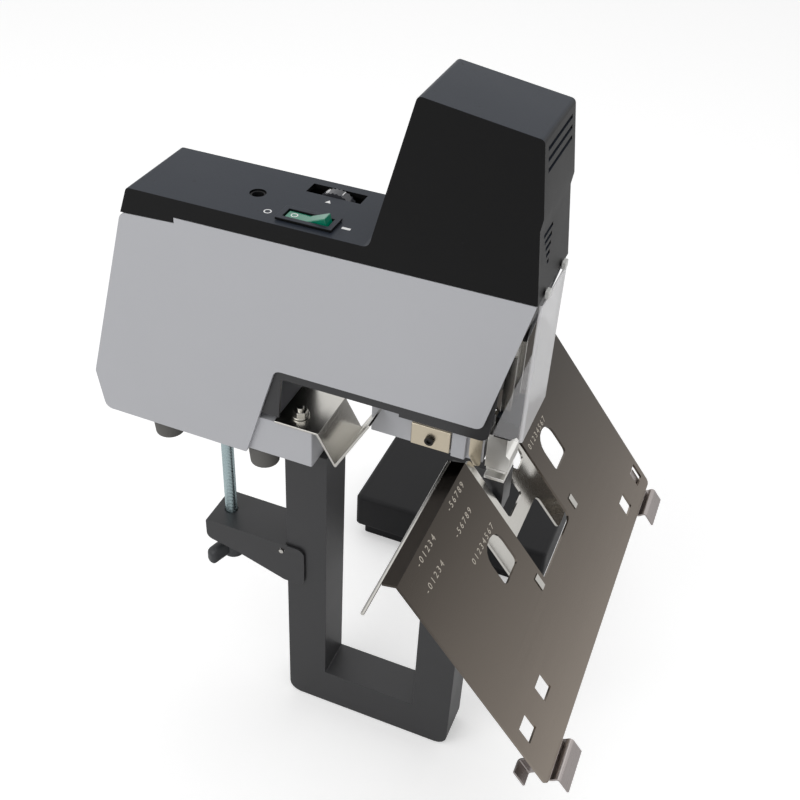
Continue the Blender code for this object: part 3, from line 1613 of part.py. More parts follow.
def clamp():
    """Arm, pin and wing nut: the nut turns and travels with the arm."""
    arm, pin = clamp_arm()
    nut = wing_nut()
    axis = pivot("clamp_arm_axis", (ROD_X, 0, ARM_TOP_Z))
    nut_axis = pivot("wing_nut_axis", (ROD_X, 0, ARM_TOP_Z))
    carried(axis, arm, pin, nut_axis)
    carried(nut_axis, nut)


def guard():
    """Clear guard that hangs in front of the head from two white clips."""
    lean = (0, math.radians(GUARD_LEAN), 0)
    axis = pivot("guard_axis", (GUARD_HINGE[0], 0, GUARD_HINGE[1]), lean)
    half = GUARD_TOP_HALF
    outline = [
        (-half, 0),
        (-half, -GUARD_LENGTH),
        (half - GUARD_CHAMFER, -GUARD_LENGTH),
        (half, -GUARD_LENGTH + GUARD_CHAMFER),
        (half, 0),
    ]
    pane = sheet("guard", [outline], GUARD_THICKNESS, "clear", turn=ALONG_X)
    drawn_on(axis, pane)
    low = GUARD_HINGE[1] + GUARD_THICKNESS / 2 + GAP
    face = TOWER_FRONT[0] + GAP
    for y, name in zip(CLIP_Y, ("guard_clip_near", "guard_clip_far")):
        block(
            name,
            (face, y - CLIP_WIDTH / 2, low),
            (face + CLIP_DEPTH, y + CLIP_WIDTH / 2, low + CLIP_HEIGHT),
            "white_plastic",
            GAP,
        )


def rear_cover():
    """Slanted cover between the panels at the back, with the mains inlet in it."""
    low_z, high_z = REAR_COVER_LOWER_Z, PANEL_TOP_REAR[1] - GAP
    rise = PANEL_TOP_REAR[1] - PANEL_BACK[1]
    lean = (PANEL_TOP_REAR[0] - PANEL_BACK[0]) / rise
    inset = PANEL_SHEET

    def back_x(z):
        return PANEL_BACK[0] + (z - PANEL_BACK[1]) * lean + inset

    outline = [
        (back_x(low_z), low_z),
        (back_x(low_z) + SHEET, low_z),
        (back_x(high_z) + SHEET, high_z),
        (back_x(high_z), high_z),
    ]
    cover = sheet("rear_cover", [outline], 2 * HALF_INSIDE, "frame_black", turn=ALONG_Y)
    middle_z = low_z + (high_z - low_z) * INLET_MID_SHARE
    slant = math.atan(lean)
    hole = centred(
        "inlet_hole",
        -OVERRUN,
        OVERRUN,
        INLET_WIDTH / 2 + GAP,
        INLET_HEIGHT / 2 + GAP,
    )
    flange = centred(
        "mains_inlet",
        -INLET_FLANGE - GAP,
        -GAP,
        INLET_WIDTH / 2 + INLET_RIM,
        INLET_HEIGHT / 2 + INLET_RIM,
        "dark_plastic",
    )
    body = centred(
        "inlet_body", -INLET_FLANGE / 2, INLET_DEPTH, INLET_WIDTH / 2, INLET_HEIGHT / 2
    )
    pocket = centred(
        "inlet_pocket",
        -INLET_FLANGE - OVERRUN,
        INLET_POCKET,
        INLET_WIDTH / 2 - SHEET,
        INLET_HEIGHT / 2 - SHEET,
    )
    joined(flange, body)
    cut(flange, pocket)
    cut(cover, hole)
    axis = pivot("inlet_axis", (back_x(middle_z), 0, middle_z), (0, slant, 0))
    drawn_on(axis, hole, flange, body, pocket)


def centred(name, x0, x1, half_width, half_height, look=None):
    """A box from x0 to x1, centred on the X axis."""
    return block(name, (x0, -half_width, -half_height), (x1, half_width, half_height), look)


def foot_pedal():
    """Pedal that stands behind: a base, a hood hinged near its far edge, and its switch."""
    half = PEDAL_LENGTH / 2
    wall = PEDAL_WALL
    inset = wall + PEDAL_BASE_INSET
    far = PEDAL_NEAR_Y + PEDAL_DEPTH
    base = block(
        "foot_pedal_base",
        (-half + inset, PEDAL_NEAR_Y + inset, 0),
        (half - inset, far - inset, PEDAL_BASE_HEIGHT),
        "cover_black",
        PEDAL_ROUND / 2,
    )
    hinge_y = far - inset - PEDAL_LUG / 2
    lugs = []
    for side in MIRRORED:
        outer = side * (half - inset - PEDAL_ROUND)
        low, high = sorted((outer, outer - side * PEDAL_LUG))
        lugs.append(
            block(
                f"pedal_lug_{side}",
                (low, hinge_y - PEDAL_LUG / 2, PEDAL_BASE_HEIGHT - OVERRUN),
                (high, hinge_y + PEDAL_LUG / 2 - PEDAL_ROUND / 2, PEDAL_HINGE_Z + PEDAL_PIN * 2),
            )
        )
    reach = half + OVERRUN
    place = (0, hinge_y, PEDAL_HINGE_Z)
    ends = [(-reach, 0, 0), (reach, 0, 0)]
    base_bore = rod("pedal_base_bore", ends, PEDAL_PIN + GAP, None, 2, place)
    hood_bore = rod("pedal_hood_bore", ends, PEDAL_PIN + GAP, None, 2, place)
    joined(base, *lugs)
    cut(base, base_bore)
    pin_ends = [(-half - GAP, 0, 0), (half + GAP, 0, 0)]
    rod("pedal_hinge_pin", pin_ends, PEDAL_PIN, "plated", 2, place)
    hood = block(
        "foot_pedal_hood",
        (-half, PEDAL_NEAR_Y, PEDAL_SKIRT_Z),
        (half, far, PEDAL_TOP_Z),
        "cover_black",
        PEDAL_ROUND,
    )
    hollow = block(
        "pedal_hood_hollow",
        (-half + wall, PEDAL_NEAR_Y + wall, PEDAL_SKIRT_Z - OVERRUN),
        (half - wall, far - wall, PEDAL_TOP_Z - wall),
    )
    cut(hood, hollow, hood_bore)
    carried(pivot("pedal_axis", place), hood)
    length, width, spare = PEDAL_SWITCH_SIZE
    switch_y = PEDAL_NEAR_Y + PEDAL_DEPTH / 2
    block(
        "pedal_switch",
        (-length / 2, switch_y - width / 2, PEDAL_BASE_HEIGHT + GAP),
        (length / 2, switch_y + width / 2, PEDAL_TOP_Z - wall - spare),
        "dark_plastic",
        GAP,
    )


def build():
    """Clear the scene and make every piece."""
    for obj in list(bpy.data.objects):
        bpy.data.objects.remove(obj)
    side_panels()
    loop_frame()
    base_tray()
    rubber_feet()
    head_frame()
    top_cover()
    switch()
    pedal_jack()
    force_wheel()
    control_board()
    solenoid()
    driver()
    driver_guides()
    front_closers()
    pusher(magazine())
    anvil()
    pivot_pin()
    table()
    rear_stop()
    clamp_rod()
    clamp()
    guard()
    rear_cover()
    foot_pedal()


build()
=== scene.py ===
import json
import math

import bpy
from bpy.props import FloatProperty, FloatVectorProperty, PointerProperty
from mathutils import Matrix, Vector
from mathutils.bvhtree import BVHTree


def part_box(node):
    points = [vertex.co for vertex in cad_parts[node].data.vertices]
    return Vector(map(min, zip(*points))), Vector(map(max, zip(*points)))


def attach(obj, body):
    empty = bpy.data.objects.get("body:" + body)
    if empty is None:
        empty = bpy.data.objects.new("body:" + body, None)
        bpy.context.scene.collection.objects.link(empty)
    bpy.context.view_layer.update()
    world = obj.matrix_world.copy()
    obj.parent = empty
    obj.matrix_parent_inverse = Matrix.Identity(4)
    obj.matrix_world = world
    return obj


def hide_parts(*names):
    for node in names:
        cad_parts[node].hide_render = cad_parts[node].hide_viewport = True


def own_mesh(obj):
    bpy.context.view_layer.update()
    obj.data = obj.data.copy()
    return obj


bl_info = {
    "name": "Saddle Stapler Dresser",
    "version": (1, 0, 0),
    "blender": (4, 5, 0),
    "location": "View3D > Sidebar > Stapler",
    "description": "Dresses the packed electric stapler in fine geometry and finishes",
    "category": "Object",
}

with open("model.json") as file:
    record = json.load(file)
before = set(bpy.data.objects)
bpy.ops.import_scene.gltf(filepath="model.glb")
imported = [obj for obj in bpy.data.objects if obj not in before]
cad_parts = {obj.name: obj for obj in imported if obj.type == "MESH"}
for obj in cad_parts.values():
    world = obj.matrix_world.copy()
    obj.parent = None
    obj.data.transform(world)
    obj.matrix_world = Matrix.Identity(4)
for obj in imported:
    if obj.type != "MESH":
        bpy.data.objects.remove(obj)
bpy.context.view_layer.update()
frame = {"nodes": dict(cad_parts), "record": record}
NODES = frame["nodes"]
SLOTS = {part["node"]: part["material_slot"] for part in frame["record"]["subparts"]}
BODIES = {
    node: body
    for body, nodes in frame["record"]["behaviour"]["bodies"].items()
    for node in nodes
}
WELD = 1e-6
DRESSED = "dressed_"

# Input and output numbers of a colour mix node
MIX_FACTOR, MIX_FIRST, MIX_SECOND, MIX_RESULT = 0, 6, 7, 2

# Places on the machine, in metres
DECK_Z = 0.3875
TABLE_FRAME = Matrix.Translation((0.0660, 0, 0.2317)) @ Matrix.Rotation(math.radians(51), 4, "Y")
TABLE_RIDGE = -0.0388
TABLE_LOWER = 0.1001
TABLE_TOP = 0.0183
TABLE_UNDER = 0.0165
WHEEL = (-0.0415, 0.0165, 0.3774)
WHEEL_RADIUS = 0.0115
WHEEL_FIGURES = 8
ROD = (-0.1079, 0.0)


def colour(name, description, default):
    """A colour property."""
    return FloatVectorProperty(
        name=name, description=description, subtype="COLOR", size=3, min=0, max=1, default=default
    )


def length(name, description, default):
    """A length property, in metres."""
    return FloatProperty(
        name=name, description=description, unit="LENGTH", min=0, precision=5, default=default
    )


class StaplerColours(bpy.types.PropertyGroup):
    """Colours of the finishes."""

    panel: colour("Panel", "Light grey paint of the side panels", (0.50, 0.505, 0.53))
    # deck and tower are a lit and a shaded copy of one black. The deck colour is a painted sheen on
    # the faces that look up, standing in for the sky's reflection. The tower colour is the same
    # black, shaded, on the upright faces.
    deck: colour("Deck", "Grained faces of the cover that look up", (0.023, 0.028, 0.038))
    tower: colour("Tower", "Smooth upright faces of the cover", (0.0045, 0.0045, 0.0048))
    tube: colour("Tube", "Satin black paint of the loop frame", (0.028, 0.028, 0.030))
    bare: colour("Bare Steel", "Steel that shows where paint has worn", (0.33, 0.32, 0.31))
    table: colour("Table Plate", "Dark nickel plate of the table", (0.125, 0.108, 0.092))
    nickel: colour("Nickel", "Bright nickel plate", (0.60, 0.585, 0.55))
    zinc: colour("Zinc", "Clear zinc plate of the threaded rod", (0.44, 0.55, 0.57))
    warm: colour("Warm Nickel", "Warm plate of the magazine's side", (0.62, 0.55, 0.43))
    rocker: colour("Rocker", "Green of the lit rocker", (0.0, 0.125, 0.072))
    mark: colour("Marks", "White print on the deck", (0.82, 0.82, 0.82))
    rubber: colour("Rubber", "Rubber of the feet", (0.115, 0.112, 0.105))


class StaplerSurfaces(bpy.types.PropertyGroup):
    """Sizes of the finishes' grain, and of the fine geometry."""

    edge: length("Edge", "Bevel on the sharp edges of sheet and moulded pieces", 0.00025)
    soft_edge: length("Soft Edge", "Bevel on blocks and castings", 0.0005)
    mark_height: length("Mark Height", "How far print stands above its face", 0.00006)
    thread_pitch: length("Thread Pitch", "Pitch of the clamp rod's thread", 0.00125)
    thread_depth: length("Thread Depth", "Depth of the clamp rod's thread", 0.00020)
    grain: FloatProperty(
        name="Grain", description="Grain of the moulded deck, per metre", min=1, default=1900
    )
    peel: FloatProperty(
        name="Peel", description="Orange peel of the paint, per metre", min=1, default=520
    )


class StaplerStage(bpy.types.PropertyGroup):
    """Floor, lights and camera."""

    floor: colour("Floor", "Colour of the floor", (0.93, 0.93, 0.93))
    sky: FloatProperty(name="Sky", description="Strength of the even light", min=0, default=0.55)
    key: FloatProperty(name="Key", description="Power of the large front light", min=0, default=11)
    top: FloatProperty(name="Top", description="Power of the light above", min=0, default=7)
    azimuth: FloatProperty(name="Azimuth", description="Camera angle, degrees", default=19.96)
    elevation: FloatProperty(name="Elevation", description="Camera height, degrees", default=38.04)
    roll: FloatProperty(name="Roll", description="Camera roll, degrees", default=3.435)
    lens: FloatProperty(name="Lens", description="Focal length, millimetres", default=48.586)
    place: FloatVectorProperty(
        name="Place", description="Camera place", unit="LENGTH", size=3,
        default=(0.1692, -0.4486, 0.6517),
    )


def colours():
    """The colour settings."""
    return bpy.context.scene.stapler_colours


def surfaces():
    """The surface settings."""
    return bpy.context.scene.stapler_surfaces


# Materials


def group(name, inputs, outputs):
    """A shader node group with named inputs and outputs."""
    tree = bpy.data.node_groups.new(name, "ShaderNodeTree")
    for socket, value in inputs:
        made = tree.interface.new_socket(socket, in_out="INPUT", socket_type="NodeSocketFloat")
        made.default_value = value
    for socket in outputs:
        tree.interface.new_socket(socket, in_out="OUTPUT", socket_type="NodeSocketFloat")
    return tree, tree.nodes.new("NodeGroupInput"), tree.nodes.new("NodeGroupOutput")


def add_node(tree, kind, links=(), **values):
    """A node with its settings, fed by (input, output) pairs or plain numbers."""
    node = tree.nodes.new(kind)
    for key, value in values.items():
        setattr(node, key, value)
    for socket, source in links:
        if isinstance(source, bpy.types.NodeSocket):
            tree.links.new(source, node.inputs[socket])
        else:
            node.inputs[socket].default_value = source
    return node


def grain_group():
    """Fine grain, soft patches and specks, on object coordinates."""
    found = bpy.data.node_groups.get("grain")
    if found:
        return found
    tree, start, end = group(
        "grain", [("Grain Scale", 900.0), ("Patch Scale", 14.0)], ["Height", "Patches", "Specks"]
    )
    at = add_node(tree, "ShaderNodeTexCoord").outputs["Object"]
    fine = add_node(
        tree, "ShaderNodeTexNoise",
        [
            ("Vector", at), ("Scale", start.outputs["Grain Scale"]),
            ("Detail", 2.0), ("Roughness", 0.5),
        ],
    )
    patches = add_node(
        tree, "ShaderNodeTexNoise",
        [
            ("Vector", at), ("Scale", start.outputs["Patch Scale"]),
            ("Detail", 4.0), ("Roughness", 0.6),
        ],
    )
    specks = add_node(
        tree, "ShaderNodeTexNoise",
        [("Vector", at), ("Scale", 310.0), ("Detail", 3.0), ("Roughness", 0.7)],
    )
    speck_mask = add_node(
        tree, "ShaderNodeMapRange",
        [("Value", specks.outputs["Fac"]), ("From Min", 0.66), ("From Max", 0.74)],
    )
    tree.links.new(fine.outputs["Fac"], end.inputs["Height"])
    tree.links.new(patches.outputs["Fac"], end.inputs["Patches"])
    tree.links.new(speck_mask.outputs["Result"], end.inputs["Specks"])
    return tree


def wear_group():
    """Where paint is rubbed through: on edges, broken up by noise."""
    found = bpy.data.node_groups.get("edge_wear")
    if found:
        return found
    tree, start, end = group("edge_wear", [("Radius", 0.0006), ("Amount", 0.5)], ["Mask"])
    at = add_node(tree, "ShaderNodeTexCoord").outputs["Object"]
    rounded = add_node(tree, "ShaderNodeBevel", [("Radius", start.outputs["Radius"])], samples=4)
    flat = add_node(tree, "ShaderNodeNewGeometry").outputs["True Normal"]
    facing = add_node(
        tree, "ShaderNodeVectorMath",
        [(0, rounded.outputs["Normal"]), (1, flat)], operation="DOT_PRODUCT",
    )
    edge = add_node(
        tree, "ShaderNodeMapRange",
        [("Value", facing.outputs["Value"]), ("From Min", 0.97), ("From Max", 0.84)],
    )
    noise = add_node(
        tree, "ShaderNodeTexNoise",
        [("Vector", at), ("Scale", 85.0), ("Detail", 5.0), ("Roughness", 0.7)],
    )
    broken = add_node(
        tree, "ShaderNodeMapRange",
        [("Value", noise.outputs["Fac"]), ("From Min", 0.52), ("From Max", 0.64)],
    )
    both = add_node(
        tree, "ShaderNodeMath",
        [(0, edge.outputs["Result"]), (1, broken.outputs["Result"])], operation="MULTIPLY",
    )
    share = add_node(
        tree, "ShaderNodeMath", [(0, both.outputs["Value"]), (1, start.outputs["Amount"])],
        operation="MULTIPLY", use_clamp=True,
    )
    tree.links.new(share.outputs["Value"], end.inputs["Mask"])
    return tree


def brushed_group():
    """Fine streaks along one direction, for rolled and brushed metal."""
    found = bpy.data.node_groups.get("brushed")
    if found:
        return found
    tree, start, end = group(
        "brushed",
        [("Across", 900.0), ("Along", 22.0), ("Patch Scale", 11.0)],
        ["Streaks", "Patches"],
    )
    at = add_node(tree, "ShaderNodeTexCoord").outputs["Object"]
    scale = add_node(
        tree, "ShaderNodeCombineXYZ",
        [
            ("X", start.outputs["Across"]),
            ("Y", start.outputs["Along"]),
            ("Z", start.outputs["Across"]),
        ],
    )
    drawn = add_node(
        tree, "ShaderNodeVectorMath", [(0, at), (1, scale.outputs["Vector"])], operation="MULTIPLY"
    )
    streaks = add_node(
        tree, "ShaderNodeTexNoise",
        [("Vector", drawn.outputs["Vector"]), ("Scale", 1.0), ("Detail", 3.0), ("Roughness", 0.6)],
    )
    patches = add_node(
        tree, "ShaderNodeTexNoise",
        [
            ("Vector", at), ("Scale", start.outputs["Patch Scale"]),
            ("Detail", 3.0), ("Roughness", 0.55),
        ],
    )
    tree.links.new(streaks.outputs["Fac"], end.inputs["Streaks"])
    tree.links.new(patches.outputs["Fac"], end.inputs["Patches"])
    return tree


def placed_group(tree, shared, **values):
    """A shared group placed in a material, with its own values."""
    node = tree.nodes.new("ShaderNodeGroup")
    node.node_tree = shared
    for socket, value in values.items():
        node.inputs[socket.replace("_", " ")].default_value = value
    return node


def blank(name):
    """A new material, with its tree and its Principled shader."""
    made = bpy.data.materials.new(DRESSED + name)
    made.use_nodes = True
    return made, made.node_tree, made.node_tree.nodes["Principled BSDF"]


def ranged(tree, value, low, high):
    """A value from 0 to 1 brought between two numbers."""
    node = add_node(
        tree, "ShaderNodeMapRange", [("Value", value), ("To Min", low), ("To Max", high)]
    )
    return node.outputs["Result"]


def mixed(tree, mask, first, second):
    """Two colours mixed by a mask or by a plain share."""
    node = tree.nodes.new("ShaderNodeMix")
    node.data_type = "RGBA"
    for index, source in ((MIX_FACTOR, mask), (MIX_FIRST, first), (MIX_SECOND, second)):
        if isinstance(source, bpy.types.NodeSocket):
            tree.links.new(source, node.inputs[index])
        elif index == MIX_FACTOR:
            node.inputs[index].default_value = source
        else:
            node.inputs[index].default_value = (*source, 1)
    return node.outputs[MIX_RESULT]


def shaded(base, share):
    """A colour scaled lighter or darker."""
    return tuple(min(1, channel * share) for channel in base)


def bumped(tree, shader, height, strength, distance):
    """Feed a height to the shader as bump."""
    bump = add_node(
        tree, "ShaderNodeBump", [("Height", height), ("Strength", strength), ("Distance", distance)]
    )
    tree.links.new(bump.outputs["Normal"], shader.inputs["Normal"])


def painted(name, base, roughness, wear, scale=None, spread=0.07, bump=0.10):
    """Satin paint: orange peel, slightly uneven gloss, and bare steel on rubbed edges."""
    made, tree, shader = blank(name)
    grain = placed_group(tree, grain_group(), Grain_Scale=scale or surfaces().peel, Patch_Scale=9.0)
    worn = placed_group(tree, wear_group(), Radius=0.0007, Amount=wear)
    toned = mixed(
        tree, grain.outputs["Patches"], shaded(base, 1 - spread), shaded(base, 1 + spread)
    )
    result = mixed(tree, worn.outputs["Mask"], toned, tuple(colours().bare))
    tree.links.new(result, shader.inputs["Base Color"])
    tree.links.new(worn.outputs["Mask"], shader.inputs["Metallic"])
    gloss = ranged(tree, grain.outputs["Patches"], roughness + 0.07, roughness - 0.07)
    tree.links.new(gloss, shader.inputs["Roughness"])
    bumped(tree, shader, grain.outputs["Height"], bump, 0.0002)
    return made


def moulded(name, base, roughness, scale=1500.0, bump=0.12, upper=None, specular=0.4):
    """Moulded plastic with a fine grain. Faces that look up may get a painted sheen: a lighter
    colour standing in for the sky's reflection.
    """
    made, tree, shader = blank(name)
    grain = placed_group(tree, grain_group(), Grain_Scale=scale, Patch_Scale=16.0)
    toned = mixed(tree, grain.outputs["Patches"], shaded(base, 0.85), shaded(base, 1.2))
    # Painted sheen: faces whose normal points up are mixed towards a lit copy of the colour.
    if upper is not None:
        normal = add_node(tree, "ShaderNodeNewGeometry").outputs["True Normal"]
        split = add_node(tree, "ShaderNodeSeparateXYZ", [("Vector", normal)])
        facing = add_node(
            tree, "ShaderNodeMapRange",
            [("Value", split.outputs["Z"]), ("From Min", 0.45), ("From Max", 0.95)],
        ).outputs["Result"]
        lighter = mixed(tree, grain.outputs["Height"], shaded(upper, 0.8), shaded(upper, 1.2))
        toned = mixed(tree, facing, toned, lighter)
    dusty = mixed(tree, grain.outputs["Specks"], toned, shaded(base, 1.6))
    tree.links.new(dusty, shader.inputs["Base Color"])
    gloss = ranged(tree, grain.outputs["Patches"], roughness + 0.06, roughness - 0.06)
    tree.links.new(gloss, shader.inputs["Roughness"])
    shader.inputs["Specular IOR Level"].default_value = specular
    bumped(tree, shader, grain.outputs["Height"], bump, 0.0003)
    return made


def metal(name, base, roughness, across=900.0, along=22.0, bump=0.05, spread=0.10):
    """Plated or brushed metal, with streaks and patches in its colour and gloss."""
    made, tree, shader = blank(name)
    streaks = placed_group(tree, brushed_group(), Across=across, Along=along, Patch_Scale=11.0)
    toned = mixed(
        tree, streaks.outputs["Patches"], shaded(base, 1 - spread), shaded(base, 1 + spread)
    )
    tree.links.new(toned, shader.inputs["Base Color"])
    shader.inputs["Metallic"].default_value = 1
    gloss = ranged(tree, streaks.outputs["Streaks"], roughness - 0.05, roughness + 0.09)
    tree.links.new(gloss, shader.inputs["Roughness"])
    bumped(tree, shader, streaks.outputs["Streaks"], bump, 0.0001)
    return made


def gradient(tree, along, low, high, power):
    """A value that grows across the object along a direction."""
    at = add_node(tree, "ShaderNodeTexCoord").outputs["Object"]
    dot = add_node(tree, "ShaderNodeVectorMath", [(0, at), (1, along)], operation="DOT_PRODUCT")
    span = add_node(
        tree, "ShaderNodeMapRange",
        [("Value", dot.outputs["Value"]), ("From Min", low), ("From Max", high)],
    )
    curved = add_node(
        tree, "ShaderNodeMath", [(0, span.outputs["Result"]), (1, power)], operation="POWER"
    )
    return curved.outputs["Value"]


def reflection_painted_plate(name):
    """Dark nickel plate of the table, with a painted reflection: darker along its ridge and lighter
    towards its lower edge.
    """
    made, tree, shader = blank(name)
    streaks = placed_group(tree, brushed_group(), Across=1400.0, Along=9.0, Patch_Scale=13.0)
    tone = tuple(colours().table)
    # Painted reflection: the colour runs from a shaded copy of the tone near the ridge to a lit
    # copy at the lower edge.
    plate = mixed(
        tree, gradient(tree, (0, -0.8, -7.0), -1.95, -1.08, 1.5),
        shaded(tone, 0.33), shaded(tone, 2.9),
    )
    patchy = mixed(tree, streaks.outputs["Patches"], plate, tone)
    tree.links.new(mixed(tree, 0.16, plate, patchy), shader.inputs["Base Color"])
    shader.inputs["Metallic"].default_value = 1
    gloss = ranged(tree, streaks.outputs["Streaks"], 0.15, 0.27)
    tree.links.new(gloss, shader.inputs["Roughness"])
    bumped(tree, shader, streaks.outputs["Streaks"], 0.015, 0.0001)
    return made


def clear_sheet(name):
    """Slightly milky clear plastic of the guard."""
    made, tree, shader = blank(name)
    grain = placed_group(tree, grain_group(), Grain_Scale=120.0, Patch_Scale=30.0)
    toned = mixed(tree, grain.outputs["Patches"], (0.84, 0.84, 0.86), (0.94, 0.93, 0.94))
    tree.links.new(toned, shader.inputs["Base Color"])
    gloss = ranged(tree, grain.outputs["Patches"], 0.06, 0.16)
    tree.links.new(gloss, shader.inputs["Roughness"])
    # Opacity grows towards the flat front: low on the flared sides, higher across the front face.
    front_opacity = ranged(tree, gradient(tree, (1, 0, 0), 0.0808, 0.0824, 1.0), 0.16, 0.74)
    tree.links.new(front_opacity, shader.inputs["Alpha"])
    shader.inputs["IOR"].default_value = 1.49
    return made


def green_lens(name):
    """Clear green plastic of the rocker, lit from inside."""
    made, tree, shader = blank(name)
    base = tuple(colours().rocker)
    grain = placed_group(tree, grain_group(), Grain_Scale=160.0, Patch_Scale=140.0)
    toned = mixed(tree, grain.outputs["Patches"], shaded(base, 0.55), shaded(base, 1.5))
    tree.links.new(toned, shader.inputs["Base Color"])
    tree.links.new(toned, shader.inputs["Emission Color"])
    shader.inputs["Emission Strength"].default_value = 0.35
    gloss = ranged(tree, grain.outputs["Patches"], 0.10, 0.22)
    tree.links.new(gloss, shader.inputs["Roughness"])
    shader.inputs["Coat Weight"].default_value = 0.5
    bumped(tree, shader, grain.outputs["Height"], 0.04, 0.0003)
    return made


def make_finish(name):
    """Make one finish from the settings."""
    tone = colours()
    grain = surfaces().grain
    makers = {
        "panel_grey": lambda: painted(name, tone.panel, 0.42, 0.05, None, 0.03),
        # The cover's faces that look up take the deck colour as a painted sheen, and the upright
        # faces keep the shaded tower colour.
        "cover_black": lambda: moulded(name, tone.tower, 0.40, grain, 0.10, tone.deck, 0.16),
        "frame_black": lambda: painted(name, tone.tube, 0.38, 0.10, 700.0, 0.10, 0.12),
        "plated": lambda: metal(name, tone.nickel, 0.22, 900.0, 22.0, 0.02),
        "chrome": lambda: metal(name, (0.86, 0.85, 0.82), 0.32, 500.0, 60.0, 0.01, 0.06),
        "table_plate": lambda: reflection_painted_plate(name),
        "stop_plate": lambda: metal(name, (0.39, 0.355, 0.345), 0.26, 1100.0, 30.0, 0.02, 0.2),
        "zinc": lambda: metal(name, tone.zinc, 0.26, 800.0, 800.0, 0.08, 0.15),
        "brass_tone": lambda: metal(name, tone.warm, 0.30),
        "rubber": lambda: moulded(name, tone.rubber, 0.72, 900.0, 0.22),
        "rocker_green": lambda: green_lens(name),
        "wheel_clear": lambda: moulded(name, (0.050, 0.052, 0.060), 0.16, 600.0, 0.05),
        "clear": lambda: clear_sheet(name),
        "white_plastic": lambda: moulded(name, (0.72, 0.72, 0.70), 0.38, 900.0, 0.05),
        "dark_plastic": lambda: moulded(name, (0.010, 0.010, 0.011), 0.46, 1300.0, 0.12, None, 0.2),
        "blackened": lambda: metal(name, (0.035, 0.034, 0.033), 0.36, 500.0, 500.0, 0.02),
        "knob_black": lambda: moulded(name, (0.035, 0.037, 0.040), 0.42, 1300.0, 0.12),
        "spring_wire": lambda: metal(name, (0.48, 0.47, 0.45), 0.24, 500.0, 500.0, 0.02, 0.1),
        "iron": lambda: metal(name, (0.30, 0.30, 0.30), 0.42, 600.0, 300.0, 0.10, 0.2),
        "copper": lambda: metal(name, (0.50, 0.22, 0.09), 0.34, 40.0, 2600.0, 0.25, 0.2),
        "board_green": lambda: moulded(name, (0.02, 0.13, 0.06), 0.35, 500.0, 0.05),
        "mark": lambda: moulded(name, tone.mark, 0.45, 1500.0, 0.03),
        "engraved": lambda: metal(name, (0.50, 0.46, 0.40), 0.42, 900.0, 900.0, 0.05, 0.1),
    }
    return makers[name]()


def finish_of(name):
    """A finish, made when it is first asked for."""
    return bpy.data.materials.get(DRESSED + name) or make_finish(name)


# Modelling helpers


def activate(piece):
    """Select one piece and nothing else."""
    if bpy.context.mode != "OBJECT":
        bpy.ops.object.mode_set(mode="OBJECT")
    bpy.ops.object.select_all(action="DESELECT")
    piece.select_set(True)
    bpy.context.view_layer.objects.active = piece


def applied(piece, kind, **values):
    """Add a modifier with its settings and apply it."""
    activate(piece)
    modifier = piece.modifiers.new(kind.lower(), kind)
    for key, value in values.items():
        setattr(modifier, key, value)
    bpy.ops.object.modifier_apply(modifier=modifier.name)


def settled(piece):
    """Put the piece's place, turn and scale into its mesh."""
    activate(piece)
    bpy.ops.object.transform_apply(location=True, rotation=True, scale=True)


def finished(piece, name, look, body, smooth=40.0):
    """Name, shade and finish a piece, and hand it to its body."""
    settled(piece)
    piece.name = name
    piece.data.name = name
    piece.data.materials.clear()
    piece.data.materials.append(finish_of(look))
    bpy.ops.object.shade_smooth_by_angle(angle=math.radians(smooth))
    applied(piece, "WEIGHTED_NORMAL", keep_sharp=True, weight=100)
    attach(piece, body)


def fine_copy(node, edge=0.0, segments=2, look=None, smooth=35.0, sharp=30.0):
    """A merged copy of a CAD node with its edges bevelled, that stands for the node."""
    source = NODES[node]
    piece = bpy.data.objects.new("fine_" + node, source.data.copy())
    bpy.context.scene.collection.objects.link(piece)
    activate(piece)
    bpy.ops.object.mode_set(mode="EDIT")
    bpy.ops.mesh.select_all(action="SELECT")
    bpy.ops.mesh.remove_doubles(threshold=WELD)
    bpy.ops.mesh.dissolve_limited(angle_limit=math.radians(0.6))
    bpy.ops.object.mode_set(mode="OBJECT")
    if edge:
        applied(
            piece, "BEVEL", width=edge, segments=segments, limit_method="ANGLE",
            angle_limit=math.radians(sharp),
        )
    finished(piece, "fine_" + node, look or SLOTS[node], BODIES[node], smooth)
    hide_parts(node)


def fine_copies(names, **values):
    """Fine copies of several nodes."""
    for name in names:
        fine_copy(name, **values)


def matching(start):
    """The CAD nodes whose names start so."""
    return sorted(name for name in NODES if name.startswith(start))


def chosen(piece, kind, wanted):
    """Enter edit mode with only the wanted points, edges or faces selected, by their middles."""
    activate(piece)
    mesh = piece.data
    for items in (mesh.vertices, mesh.edges, mesh.polygons):
        items.foreach_set("select", [False] * len(items))
    points = [vertex.co for vertex in mesh.vertices]
    if kind == "VERT":
        for vertex in mesh.vertices:
            vertex.select = wanted(vertex.co)
    elif kind == "EDGE":
        for edge in mesh.edges:
            edge.select = wanted((points[edge.vertices[0]] + points[edge.vertices[1]]) / 2)
    else:
        for face in mesh.polygons:
            face.select = wanted(face.center)
    bpy.context.tool_settings.mesh_select_mode = tuple(
        kind == each for each in ("VERT", "EDGE", "FACE")
    )
    bpy.ops.object.mode_set(mode="EDIT")


def leave():
    """Back to object mode."""
    bpy.ops.object.mode_set(mode="OBJECT")


def pulled(piece, wanted, move):
    """Extrude the wanted edges of a sheet by a move."""
    chosen(piece, "EDGE", wanted)
    bpy.ops.mesh.extrude_region_move(TRANSFORM_OT_translate={"value": move})
    leave()


